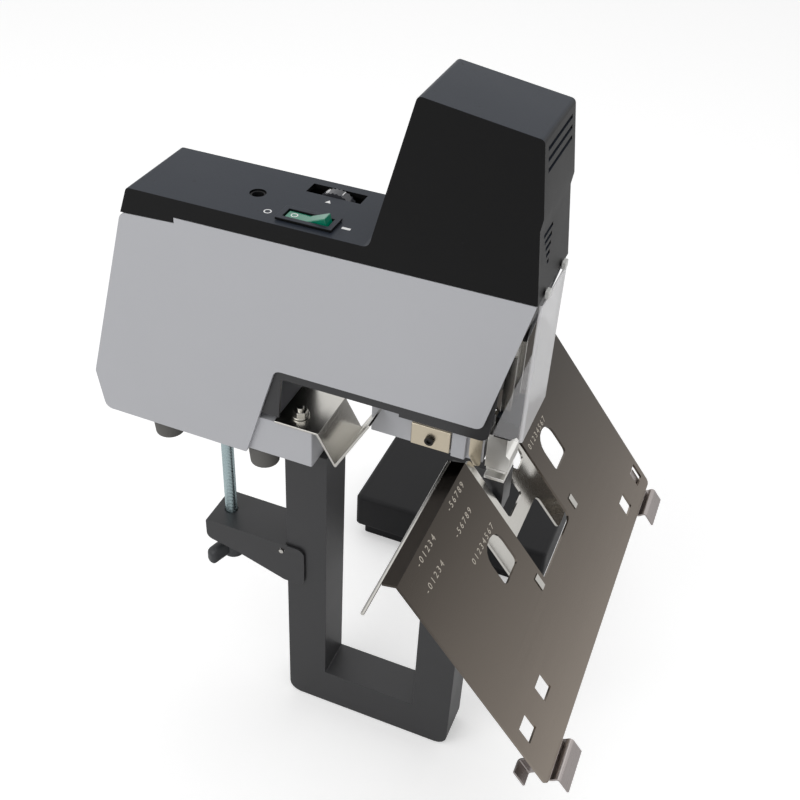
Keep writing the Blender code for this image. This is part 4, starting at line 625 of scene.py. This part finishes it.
def flat_sheet(low, high):
    """A flat rectangle between two corners that share one coordinate."""
    low, high = Vector(low), Vector(high)
    bpy.ops.object.select_all(action="DESELECT")
    bpy.ops.mesh.primitive_plane_add(size=1, location=(low + high) / 2)
    piece = bpy.context.object
    size = high - low
    if not size.x:
        piece.rotation_euler = (0, math.radians(90), 0)
        piece.scale = (size.z, size.y, 1)
    else:
        piece.scale = (size.x, size.y, 1)
    settled(piece)
    return piece


def solid_sheet(piece, thickness, bend, edge):
    """Round a sheet's bends, give it its thickness and break its edges."""
    applied(piece, "BEVEL", width=bend, segments=4, limit_method="ANGLE")
    chosen(piece, "FACE", lambda middle: True)
    bpy.ops.mesh.normals_make_consistent(inside=False)
    leave()
    applied(piece, "SOLIDIFY", thickness=thickness, offset=0, use_even_offset=True)
    applied(
        piece, "BEVEL", width=edge, segments=2, limit_method="ANGLE",
        angle_limit=math.radians(50),
    )


def disc(place, radius, height, sides=32, edge=0.0):
    """A short cylinder that stands on a place, with its rims broken."""
    bpy.ops.object.select_all(action="DESELECT")
    bpy.ops.mesh.primitive_cylinder_add(
        vertices=sides, radius=radius, depth=height,
        location=Vector(place) + Vector((0, 0, height / 2)),
    )
    piece = bpy.context.object
    settled(piece)
    if edge:
        applied(
            piece, "BEVEL", width=edge, segments=2, limit_method="ANGLE",
            angle_limit=math.radians(60),
        )
    return piece


def hexagon(place, across, height):
    """A hexagon nut with its top corners chamfered."""
    piece = disc(place, across / math.sqrt(3), height, 6)
    top = place[2] + height
    chosen(piece, "VERT", lambda point: point.z > top - WELD)
    bpy.ops.mesh.bevel(offset=across * 0.07, segments=1, affect="VERTICES")
    leave()
    applied(piece, "BEVEL", width=0.0002, segments=1, limit_method="ANGLE")
    return piece


def welded(first, *others):
    """Join pieces into one closed solid."""
    for other in others:
        applied(first, "BOOLEAN", operation="UNION", object=other, solver="EXACT")
        bpy.data.objects.remove(other)
    return first


def gathered(pieces):
    """Join several small pieces into one object."""
    activate(pieces[0])
    for piece in pieces:
        piece.select_set(True)
    bpy.ops.object.join()
    return pieces[0]


def lettered(body, size, place, thick):
    """A plain figure as a mesh, with its place in its mesh."""
    bpy.ops.object.select_all(action="DESELECT")
    bpy.ops.object.text_add()
    figure = bpy.context.object
    figure.data.body = body
    figure.data.size = size
    figure.data.extrude = thick / 2
    figure.data.align_x = "CENTER"
    figure.data.align_y = "CENTER"
    figure.data.resolution_u = 3
    activate(figure)
    bpy.ops.object.convert(target="MESH")
    figure.data.transform(place)
    return figure


def surface_under(node, x, y):
    """The height of a node's upper face at a place."""
    mesh = NODES[node].data
    tree = BVHTree.FromPolygons(
        [vertex.co for vertex in mesh.vertices], [face.vertices for face in mesh.polygons]
    )
    spot = tree.ray_cast(Vector((x, y, 1)), Vector((0, 0, -1)))[0]
    if spot is None:
        raise RuntimeError(f"{node} has no face under {x}, {y}")
    return spot.z


def capped(piece):
    """Merge doubled points, close the open ends and turn the faces outward."""
    activate(piece)
    bpy.ops.object.mode_set(mode="EDIT")
    bpy.ops.mesh.select_all(action="SELECT")
    bpy.ops.mesh.remove_doubles(threshold=WELD)
    bpy.ops.mesh.fill_holes(sides=0)
    bpy.ops.mesh.select_all(action="SELECT")
    bpy.ops.mesh.normals_make_consistent(inside=False)
    leave()


def coil(radius, wire, turns, low, high):
    """An open coil spring about the Z axis, from one height to another."""
    bpy.ops.object.select_all(action="DESELECT")
    bpy.ops.mesh.primitive_circle_add(
        vertices=8, radius=wire / 2, location=(radius, 0, low + wire / 2),
        rotation=(math.radians(90), 0, 0),
    )
    piece = bpy.context.object
    settled(piece)
    applied(
        piece, "SCREW", axis="Z", angle=math.radians(360), iterations=turns,
        screw_offset=(high - low - wire) / turns, steps=20, render_steps=20,
    )
    capped(piece)
    return piece


# Pieces


class OBJECT_OT_stapler_panels(bpy.types.Operator):
    """Dress the painted side panels and the base tray"""

    bl_idname = "object.stapler_panels"
    bl_label = "Panels"

    def execute(self, context):
        fine_copies(matching("side_panel"))
        fine_copy("base_tray", edge=surfaces().edge)
        return {"FINISHED"}


class OBJECT_OT_stapler_cover(bpy.types.Operator):
    """Dress the moulded cover with its tower"""

    bl_idname = "object.stapler_cover"
    bl_label = "Cover"

    def execute(self, context):
        fine_copy("top_cover", edge=surfaces().edge, sharp=50)
        fine_copy("front_cover", edge=surfaces().edge)
        fine_copy("rear_cover", edge=surfaces().edge)
        return {"FINISHED"}


class OBJECT_OT_stapler_frames(bpy.types.Operator):
    """Dress the loop frame, the head frame and the anvil"""

    bl_idname = "object.stapler_frames"
    bl_label = "Frames"

    def execute(self, context):
        fine_copy("loop_frame")
        fine_copies(("head_frame", "anvil_post", "front_plate"), edge=surfaces().edge)
        fine_copy("anvil_plate", look="chrome")
        return {"FINISHED"}


class OBJECT_OT_stapler_head(bpy.types.Operator):
    """Dress the magazine, its nose and the driver"""

    bl_idname = "object.stapler_head"
    bl_label = "Head"

    def execute(self, context):
        edge = surfaces().edge
        fine_copies(("magazine_rail", "magazine_cap", "magazine_block"), edge=edge)
        fine_copies(("nose_block", "press_plate"), edge=edge, look="chrome")
        fine_copies(("driver_guide", "driver_housing", "driver_blade", "staple_pusher"), edge=edge)
        fine_copies(("feed_leaf", "driver_yoke", "plunger"))
        fine_copy("magazine_screw", look="blackened")
        return {"FINISHED"}


class OBJECT_OT_stapler_controls(bpy.types.Operator):
    """Dress the switch, the jack and the force wheel"""

    bl_idname = "object.stapler_controls"
    bl_label = "Controls"

    def execute(self, context):
        fine_copy("power_rocker", edge=surfaces().soft_edge, segments=3)
        fine_copy("switch_bezel", edge=surfaces().edge, look="cover_black")
        fine_copy("pedal_jack", edge=surfaces().edge)
        fine_copy("force_wheel", look="wheel_clear")
        self.marks()
        self.wheel_figures()
        return {"FINISHED"}

    def ring(self, x, y, z, radius, width):
        """A printed ring."""
        thick = surfaces().mark_height
        bpy.ops.object.select_all(action="DESELECT")
        bpy.ops.mesh.primitive_circle_add(
            vertices=40, radius=radius, fill_type="NGON", location=(x, y, z)
        )
        piece = bpy.context.object
        settled(piece)
        chosen(piece, "FACE", lambda middle: True)
        bpy.ops.mesh.inset(thickness=width)
        bpy.ops.mesh.delete(type="FACE")
        leave()
        applied(piece, "SOLIDIFY", thickness=thick, offset=1)
        return piece

    def marks(self):
        """Ring, bar and arrow printed on the deck, and the ring on the rocker's low end."""
        thick = surfaces().mark_height
        ring = self.ring(-0.0646, -0.0170, DECK_Z, 0.0021, 0.0006)
        bar = disc((0, 0, DECK_Z), 0.0020, thick, 4)
        bar.data.transform(
            Matrix.Translation((-0.0219, -0.0153, 0))
            @ Matrix.Diagonal((1.66, 0.67, 1, 1))
            @ Matrix.Rotation(math.radians(45), 4, "Z")
        )
        chosen(bar, "EDGE", lambda at: abs(at.z - DECK_Z - thick / 2) < thick / 4)
        bpy.ops.mesh.bevel(offset=0.0003, segments=3)
        leave()
        arrow = disc((-0.0415, 0.0058, DECK_Z), 0.0019, thick, 3)
        finished(gathered([ring, bar, arrow]), "deck_marks", "mark", "machine")
        x, y = -0.0500, -0.0160
        low_ring = self.ring(x, y, surface_under("power_rocker", x, y), 0.0019, 0.0005)
        finished(low_ring, "rocker_mark", "mark", "rocker")

    def wheel_figures(self):
        """Plain numbers round the rim of the force wheel."""
        figures = []
        centre = Matrix.Translation(WHEEL)
        thick = 0.0008
        rim = Matrix.Translation((0, 0, WHEEL_RADIUS - thick / 2 + surfaces().mark_height))
        first, step = 20, 360 / WHEEL_FIGURES
        for index in range(WHEEL_FIGURES):
            turn = Matrix.Rotation(math.radians(first + step * index), 4, "Y")
            figures.append(lettered(str(index + 1), 0.0054, centre @ turn @ rim, thick))
        finished(gathered(figures), "wheel_figures", "mark", "force_wheel")


class OBJECT_OT_stapler_table(bpy.types.Operator):
    """Dress the tilting table and its stops"""

    bl_idname = "object.stapler_table"
    bl_label = "Table"

    def execute(self, context):
        fine_copy("saddle_table", edge=surfaces().edge)
        fine_copy("table_bracket", edge=surfaces().edge)
        fine_copies(matching("fold_rod"), look="plated")
        fine_copy("table_pivot_pin")
        for side, node in ((-1, "table_stop_near"), (1, "table_stop_far")):
            self.stop(side, node)
        self.scale()
        return {"FINISHED"}

    def stop(self, side, node):
        """A paper stop: a strip joggled up to its flap, with a finger grip welded below."""
        inner, outer = 0.0930, 0.1195
        start, wall = TABLE_LOWER - 0.0165, TABLE_LOWER + 0.0030
        under, flap = TABLE_UNDER - 0.0009, TABLE_TOP + 0.0032
        y0, y1 = sorted((side * inner, side * outer))
        piece = flat_sheet((start, y0, under), (wall, y1, under))
        pulled(piece, lambda at: at.x > wall - WELD, (0, 0, flap - under))
        pulled(piece, lambda at: at.z > flap - WELD and at.x > wall - WELD, (0.0097, 0, 0))
        level, drop, edge_y = under - 0.0004, 0.0076, side * outer
        y0, y1 = sorted((side * (inner + 0.0020), edge_y))
        grip = flat_sheet((start + 0.0020, y0, level), (start + 0.0120, y1, level))
        pulled(grip, lambda at: abs(at.y - edge_y) < WELD, (0, 0, -drop))
        pulled(grip, lambda at: at.z < level - drop + WELD, (0, side * 0.0085, 0))
        for strip in (piece, grip):
            solid_sheet(strip, thickness=0.0012, bend=0.0015, edge=0.00015)
        piece = welded(piece, grip)
        piece.data.transform(TABLE_FRAME)
        finished(piece, "fine_" + node, "stop_plate", BODIES[node])
        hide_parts(node)

    def scale(self):
        """Ticks and plain numbers on the table's face."""
        size, thick = 0.0052, 0.00004
        lines = (
            (0.0050, -0.0520, "- 5 6 7 8 9"), (0.0050, -0.0945, "- 0 1 2 3 4"),
            (0.0170, -0.0590, "- 5 6 7 8 9"), (0.0170, -0.1005, "- 0 1 2 3 4"),
            (0.0345, -0.0560, "0 1 2 3 4 5 6 7"), (0.0345, 0.0440, "0 1 2 3 4 5 6 7"),
        )
        reading = Matrix.Rotation(math.radians(90), 4, "Z")
        figures = [
            lettered(
                body, size,
                TABLE_FRAME
                @ Matrix.Translation((TABLE_RIDGE + down, y, TABLE_TOP + thick / 4))
                @ reading,
                thick,
            )
            for down, y, body in lines
        ]
        finished(gathered(figures), "table_scale", "engraved", "table")


class OBJECT_OT_stapler_rear_stop(bpy.types.Operator):
    """Dress the rear paper stop and its nut"""

    bl_idname = "object.stapler_rear_stop"
    bl_label = "Rear Stop"

    def execute(self, context):
        fine_copy("rear_stop", edge=surfaces().edge)
        low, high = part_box("stop_nut")
        x, y = (low.x + high.x) / 2, (low.y + high.y) / 2
        washer = disc((x, y, low.z), radius=0.0054, height=0.0012, edge=0.0003)
        nut = hexagon((x, y, low.z + 0.0011), across=0.0078, height=0.0030)
        stud = disc(
            (x, y, low.z + 0.0002), radius=0.0022, height=high.z - low.z - 0.0003,
            sides=24, edge=0.0007,
        )
        bolt = welded(washer, nut, stud)
        finished(bolt, "fine_stop_nut", "plated", BODIES["stop_nut"])
        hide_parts("stop_nut")
        return {"FINISHED"}


class OBJECT_OT_stapler_clamp(bpy.types.Operator):
    """Dress the desk clamp"""

    bl_idname = "object.stapler_clamp"
    bl_label = "Clamp"

    def execute(self, context):
        fine_copy("clamp_arm", edge=surfaces().soft_edge)
        fine_copy("clamp_pin")
        self.rod()
        self.knob()
        return {"FINISHED"}

    def rod(self):
        """The threaded rod with its lock nut."""
        pitch, depth, radius = surfaces().thread_pitch, surfaces().thread_depth, 0.0040
        low, high = 0.1130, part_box("clamp_rod")[1].z
        facets, rings = 24, 6
        bpy.ops.object.select_all(action="DESELECT")
        bpy.ops.mesh.primitive_cylinder_add(vertices=facets, radius=radius, depth=pitch)
        thread = bpy.context.object
        settled(thread)
        chosen(thread, "FACE", lambda middle: abs(middle.z) > pitch / 2 - WELD)
        bpy.ops.mesh.delete(type="ONLY_FACE")
        leave()
        chosen(thread, "EDGE", lambda middle: abs(middle.z) < WELD)
        bpy.ops.mesh.subdivide(number_cuts=rings - 1)
        leave()
        for vertex in thread.data.vertices:
            turn = math.atan2(vertex.co.y, vertex.co.x) / math.tau
            phase = (vertex.co.z / pitch - turn) % 1
            share = 1 - depth / radius * abs(2 * phase - 1)
            vertex.co.x *= share
            vertex.co.y *= share
        thread.data.transform(Matrix.Translation((*ROD, low + pitch / 2)))
        applied(
            thread, "ARRAY", count=int((high - low) / pitch), use_relative_offset=False,
            use_constant_offset=True, constant_offset_displace=(0, 0, pitch),
            use_merge_vertices=True, merge_threshold=0.00002,
        )
        capped(thread)
        nut = hexagon((*ROD, 0), across=0.0125, height=0.0058)
        hung = Matrix.Translation((2 * ROD[0], 0, high)) @ Matrix.Rotation(math.pi, 4, "Y")
        nut.data.transform(hung)
        both = gathered([thread, nut])
        finished(both, "fine_clamp_rod", "zinc", BODIES["clamp_rod"], 25.0)
        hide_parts("clamp_rod")

    def knob(self):
        """The moulded knob: a hub and two drooping wings."""
        top, foot, middle = 0.1464, 0.1090, 0.1172
        reach_out, droop = 0.0200, 0.0025
        hub = disc((*ROD, foot), radius=0.0078, height=top - foot, sides=40, edge=0.0014)
        bpy.ops.object.select_all(action="DESELECT")
        bpy.ops.mesh.primitive_cube_add(size=1, location=(0, 0, 0))
        wings = bpy.context.object
        wings.scale = (2 * reach_out, 0.0085, 0.0130)
        settled(wings)
        chosen(wings, "EDGE", lambda middle: abs(middle.x) < WELD)
        bpy.ops.mesh.subdivide(number_cuts=7)
        leave()
        for vertex in wings.data.vertices:
            reach = abs(vertex.co.x) / reach_out
            vertex.co.z = vertex.co.z * (1 - 0.12 * reach) - droop * reach**2
            vertex.co.y *= 1 - 0.10 * (1 - reach)
        applied(wings, "BEVEL", width=0.0032, segments=4, limit_method="ANGLE")
        wings.data.transform(
            Matrix.Translation((*ROD, middle)) @ Matrix.Rotation(math.radians(65), 4, "Z")
        )
        bore = disc((*ROD, 0.1000), radius=0.0043, height=0.0600)
        knob = welded(hub, wings)
        applied(knob, "BOOLEAN", operation="DIFFERENCE", object=bore, solver="EXACT")
        bpy.data.objects.remove(bore)
        finished(knob, "fine_wing_nut", "knob_black", BODIES["wing_nut"])
        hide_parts("wing_nut")


class OBJECT_OT_stapler_guard(bpy.types.Operator):
    """Dress the clear guard and its clips"""

    bl_idname = "object.stapler_guard"
    bl_label = "Guard"

    def execute(self, context):
        front, half, foot, top = 0.0828, 0.0222, 0.2916, 0.3760
        lip, knee, flare = 0.0014, 0.3478, 0.0146
        piece = flat_sheet((front, -half, foot), (front, half, top))
        chosen(piece, "EDGE", lambda at: abs(abs(at.y) - half) < WELD)
        bpy.ops.mesh.subdivide(number_cuts=2)
        leave()
        pulled(piece, lambda at: abs(abs(at.y) - half) < WELD, (-lip, 0, 0))
        for vertex in piece.data.vertices:
            if vertex.co.x < front - WELD:
                reach = max(0, knee - vertex.co.z) / (knee - foot)
                vertex.co.x = front - lip - flare * reach
        solid_sheet(piece, thickness=0.0007, bend=0.0009, edge=0.0001)
        finished(piece, "fine_guard", "clear", BODIES["guard"])
        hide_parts("guard")
        fine_copies(matching("guard_clip"), edge=surfaces().edge)
        return {"FINISHED"}


class OBJECT_OT_stapler_pedal(bpy.types.Operator):
    """Dress the foot pedal and the rubber feet"""

    bl_idname = "object.stapler_pedal"
    bl_label = "Pedal and Feet"

    def execute(self, context):
        fine_copies(("foot_pedal_hood", "foot_pedal_base"), look="dark_plastic")
        fine_copy("pedal_hinge_pin")
        fine_copies(matching("rubber_foot"), edge=surfaces().soft_edge, segments=3)
        return {"FINISHED"}


class OBJECT_OT_stapler_inside(bpy.types.Operator):
    """Dress what the body holds inside"""

    bl_idname = "object.stapler_inside"
    bl_label = "Inside"

    def execute(self, context):
        fine_copies(("solenoid_coil", "solenoid_frame", "control_board", "force_dial_pot"))
        fine_copies(("pedal_switch", "mains_inlet"))
        self.springs()
        self.inlet_pins()
        return {"FINISHED"}

    def springs(self):
        """The plunger's return spring and the staple pusher's spring."""
        low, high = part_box("return_spring")
        wire, turns = 0.0014, 6
        middle = (low + high) / 2
        lift = coil((high.x - low.x - wire) / 2, wire, turns, low.z, high.z)
        lift.data.transform(Matrix.Translation((middle.x, middle.y, 0)))
        finished(lift, "fine_return_spring", "spring_wire", BODIES["return_spring"], 60.0)
        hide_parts("return_spring")
        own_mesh(lift)
        low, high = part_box("pusher_spring")
        wire, turns = 0.0005, 22
        feed = coil((high.y - low.y - wire) / 2, wire, turns, 0, high.x - low.x)
        middle = (low + high) / 2
        feed.data.transform(
            Matrix.Translation((low.x, middle.y, middle.z))
            @ Matrix.Rotation(math.radians(90), 4, "Y")
        )
        finished(feed, "fine_pusher_spring", "spring_wire", BODIES["pusher_spring"], 60.0)
        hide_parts("pusher_spring")
        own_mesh(feed)

    def inlet_pins(self):
        """Three flat pins in the mains inlet."""
        low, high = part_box("mains_inlet")
        y, z = (low.y + high.y) / 2, (low.z + high.z) / 2
        pins = []
        for dy, dz in ((-0.007, -0.002), (0.007, -0.002), (0, 0.002)):
            bpy.ops.object.select_all(action="DESELECT")
            bpy.ops.mesh.primitive_cube_add(
                size=1, location=(low.x + 0.010, y + dy, z + dz), scale=(0.014, 0.002, 0.004)
            )
            pin = bpy.context.object
            settled(pin)
            applied(pin, "BEVEL", width=0.0006, segments=2, limit_method="ANGLE")
            pins.append(pin)
        finished(gathered(pins), "inlet_pins", "plated", BODIES["mains_inlet"])


# Stage


def stage_material(name, base):
    """A plain floor that looks nearly white to the camera and keeps its shadows."""
    made, tree, shader = blank(name)
    shader.inputs["Base Color"].default_value = (*base, 1)
    shader.inputs["Roughness"].default_value = 0.9
    shader.inputs["Specular IOR Level"].default_value = 0.1
    shader.inputs["Emission Color"].default_value = (1, 1, 1, 1)
    seen = add_node(tree, "ShaderNodeLightPath").outputs["Is Camera Ray"]
    glow = 0.34
    lift = add_node(tree, "ShaderNodeMath", [(0, seen), (1, glow)], operation="MULTIPLY")
    tree.links.new(lift.outputs["Value"], shader.inputs["Emission Strength"])
    return made


def area_light(name, place, target, size, power):
    """A soft square light aimed at a point."""
    data = bpy.data.lights.new(name, "AREA")
    data.shape = "SQUARE"
    data.size = size
    data.energy = power
    lamp = bpy.data.objects.new(name, data)
    bpy.context.scene.collection.objects.link(lamp)
    lamp.location = place
    lamp.rotation_euler = (Vector(place) - Vector(target)).to_track_quat("Z", "Y").to_euler()


class OBJECT_OT_stapler_stage(bpy.types.Operator):
    """Make the floor, the lights and the camera"""

    bl_idname = "object.stapler_stage"
    bl_label = "Stage"

    def execute(self, context):
        scene = context.scene
        settings = scene.stapler_stage
        bpy.ops.mesh.primitive_plane_add(size=12, location=(0, 0, -0.0005))
        floor = context.object
        floor.name = "floor"
        floor.data.materials.append(stage_material("floor_paint", settings.floor))
        settled(floor)
        self.sky(scene, settings)
        middle = (0, 0, 0.25)
        area_light("key_light", (-0.9, -1.5, 1.5), middle, 1.4, settings.key)
        area_light("top_light", (0.1, 0.1, 1.9), middle, 1.6, settings.top)
        self.camera(scene, settings)
        scene.view_settings.view_transform = "Standard"
        return {"FINISHED"}

    def sky(self, scene, settings):
        """Even light, that is white to the camera, to metal and to glass."""
        world = bpy.data.worlds.new("studio")
        scene.world = world
        world.use_nodes = True
        tree = world.node_tree
        lit = tree.nodes["Background"]
        lit.inputs["Color"].default_value = (1, 1, 1, 1)
        lit.inputs["Strength"].default_value = settings.sky
        seen = add_node(tree, "ShaderNodeBackground", [("Color", (1, 1, 1, 1)), ("Strength", 1.0)])
        path = add_node(tree, "ShaderNodeLightPath")
        either = path.outputs["Is Camera Ray"]
        for other in ("Is Glossy Ray", "Is Transmission Ray"):
            either = add_node(
                tree, "ShaderNodeMath", [(0, either), (1, path.outputs[other])],
                operation="MAXIMUM",
            ).outputs["Value"]
        mix = add_node(tree, "ShaderNodeMixShader", [("Fac", either)])
        tree.links.new(lit.outputs["Background"], mix.inputs[1])
        tree.links.new(seen.outputs["Background"], mix.inputs[2])
        tree.links.new(mix.outputs["Shader"], tree.nodes["World Output"].inputs["Surface"])

    def camera(self, scene, settings):
        """The camera at the photograph's angle."""
        data = bpy.data.cameras.new("camera")
        data.lens = settings.lens
        data.sensor_width = 36
        data.clip_start = 0.01
        camera = bpy.data.objects.new("camera", data)
        scene.collection.objects.link(camera)
        turn = (
            Matrix.Rotation(math.radians(settings.azimuth), 4, "Z")
            @ Matrix.Rotation(math.radians(90 - settings.elevation), 4, "X")
            @ Matrix.Rotation(math.radians(settings.roll), 4, "Z")
        )
        camera.matrix_world = Matrix.Translation(settings.place) @ turn
        scene.camera = camera


OPERATORS = (
    OBJECT_OT_stapler_panels,
    OBJECT_OT_stapler_cover,
    OBJECT_OT_stapler_frames,
    OBJECT_OT_stapler_head,
    OBJECT_OT_stapler_controls,
    OBJECT_OT_stapler_table,
    OBJECT_OT_stapler_rear_stop,
    OBJECT_OT_stapler_clamp,
    OBJECT_OT_stapler_guard,
    OBJECT_OT_stapler_pedal,
    OBJECT_OT_stapler_inside,
    OBJECT_OT_stapler_stage,
)


class VIEW3D_PT_stapler(bpy.types.Panel):
    """Lists the pieces in the sidebar."""

    bl_label = "Stapler"
    bl_idname = "VIEW3D_PT_stapler"
    bl_space_type = "VIEW_3D"
    bl_region_type = "UI"
    bl_category = "Stapler"

    def draw(self, context):
        for operator in OPERATORS:
            self.layout.operator(operator.bl_idname)


GROUPS = {
    "stapler_colours": StaplerColours,
    "stapler_surfaces": StaplerSurfaces,
    "stapler_stage": StaplerStage,
}
CLASSES = (*GROUPS.values(), *OPERATORS, VIEW3D_PT_stapler)


def register():
    """Register the classes and the settings."""
    for made in CLASSES:
        bpy.utils.register_class(made)
    for name, settings in GROUPS.items():
        setattr(bpy.types.Scene, name, PointerProperty(type=settings))


def unregister():
    """Take the settings and the classes away again."""
    for name in GROUPS:
        delattr(bpy.types.Scene, name)
    for made in reversed(CLASSES):
        bpy.utils.unregister_class(made)


def main():
    """Register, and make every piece."""
    register()
    for operator in OPERATORS:
        namespace, name = operator.bl_idname.split(".")
        getattr(getattr(bpy.ops, namespace), name)()


if __name__ == "__main__":
    main()
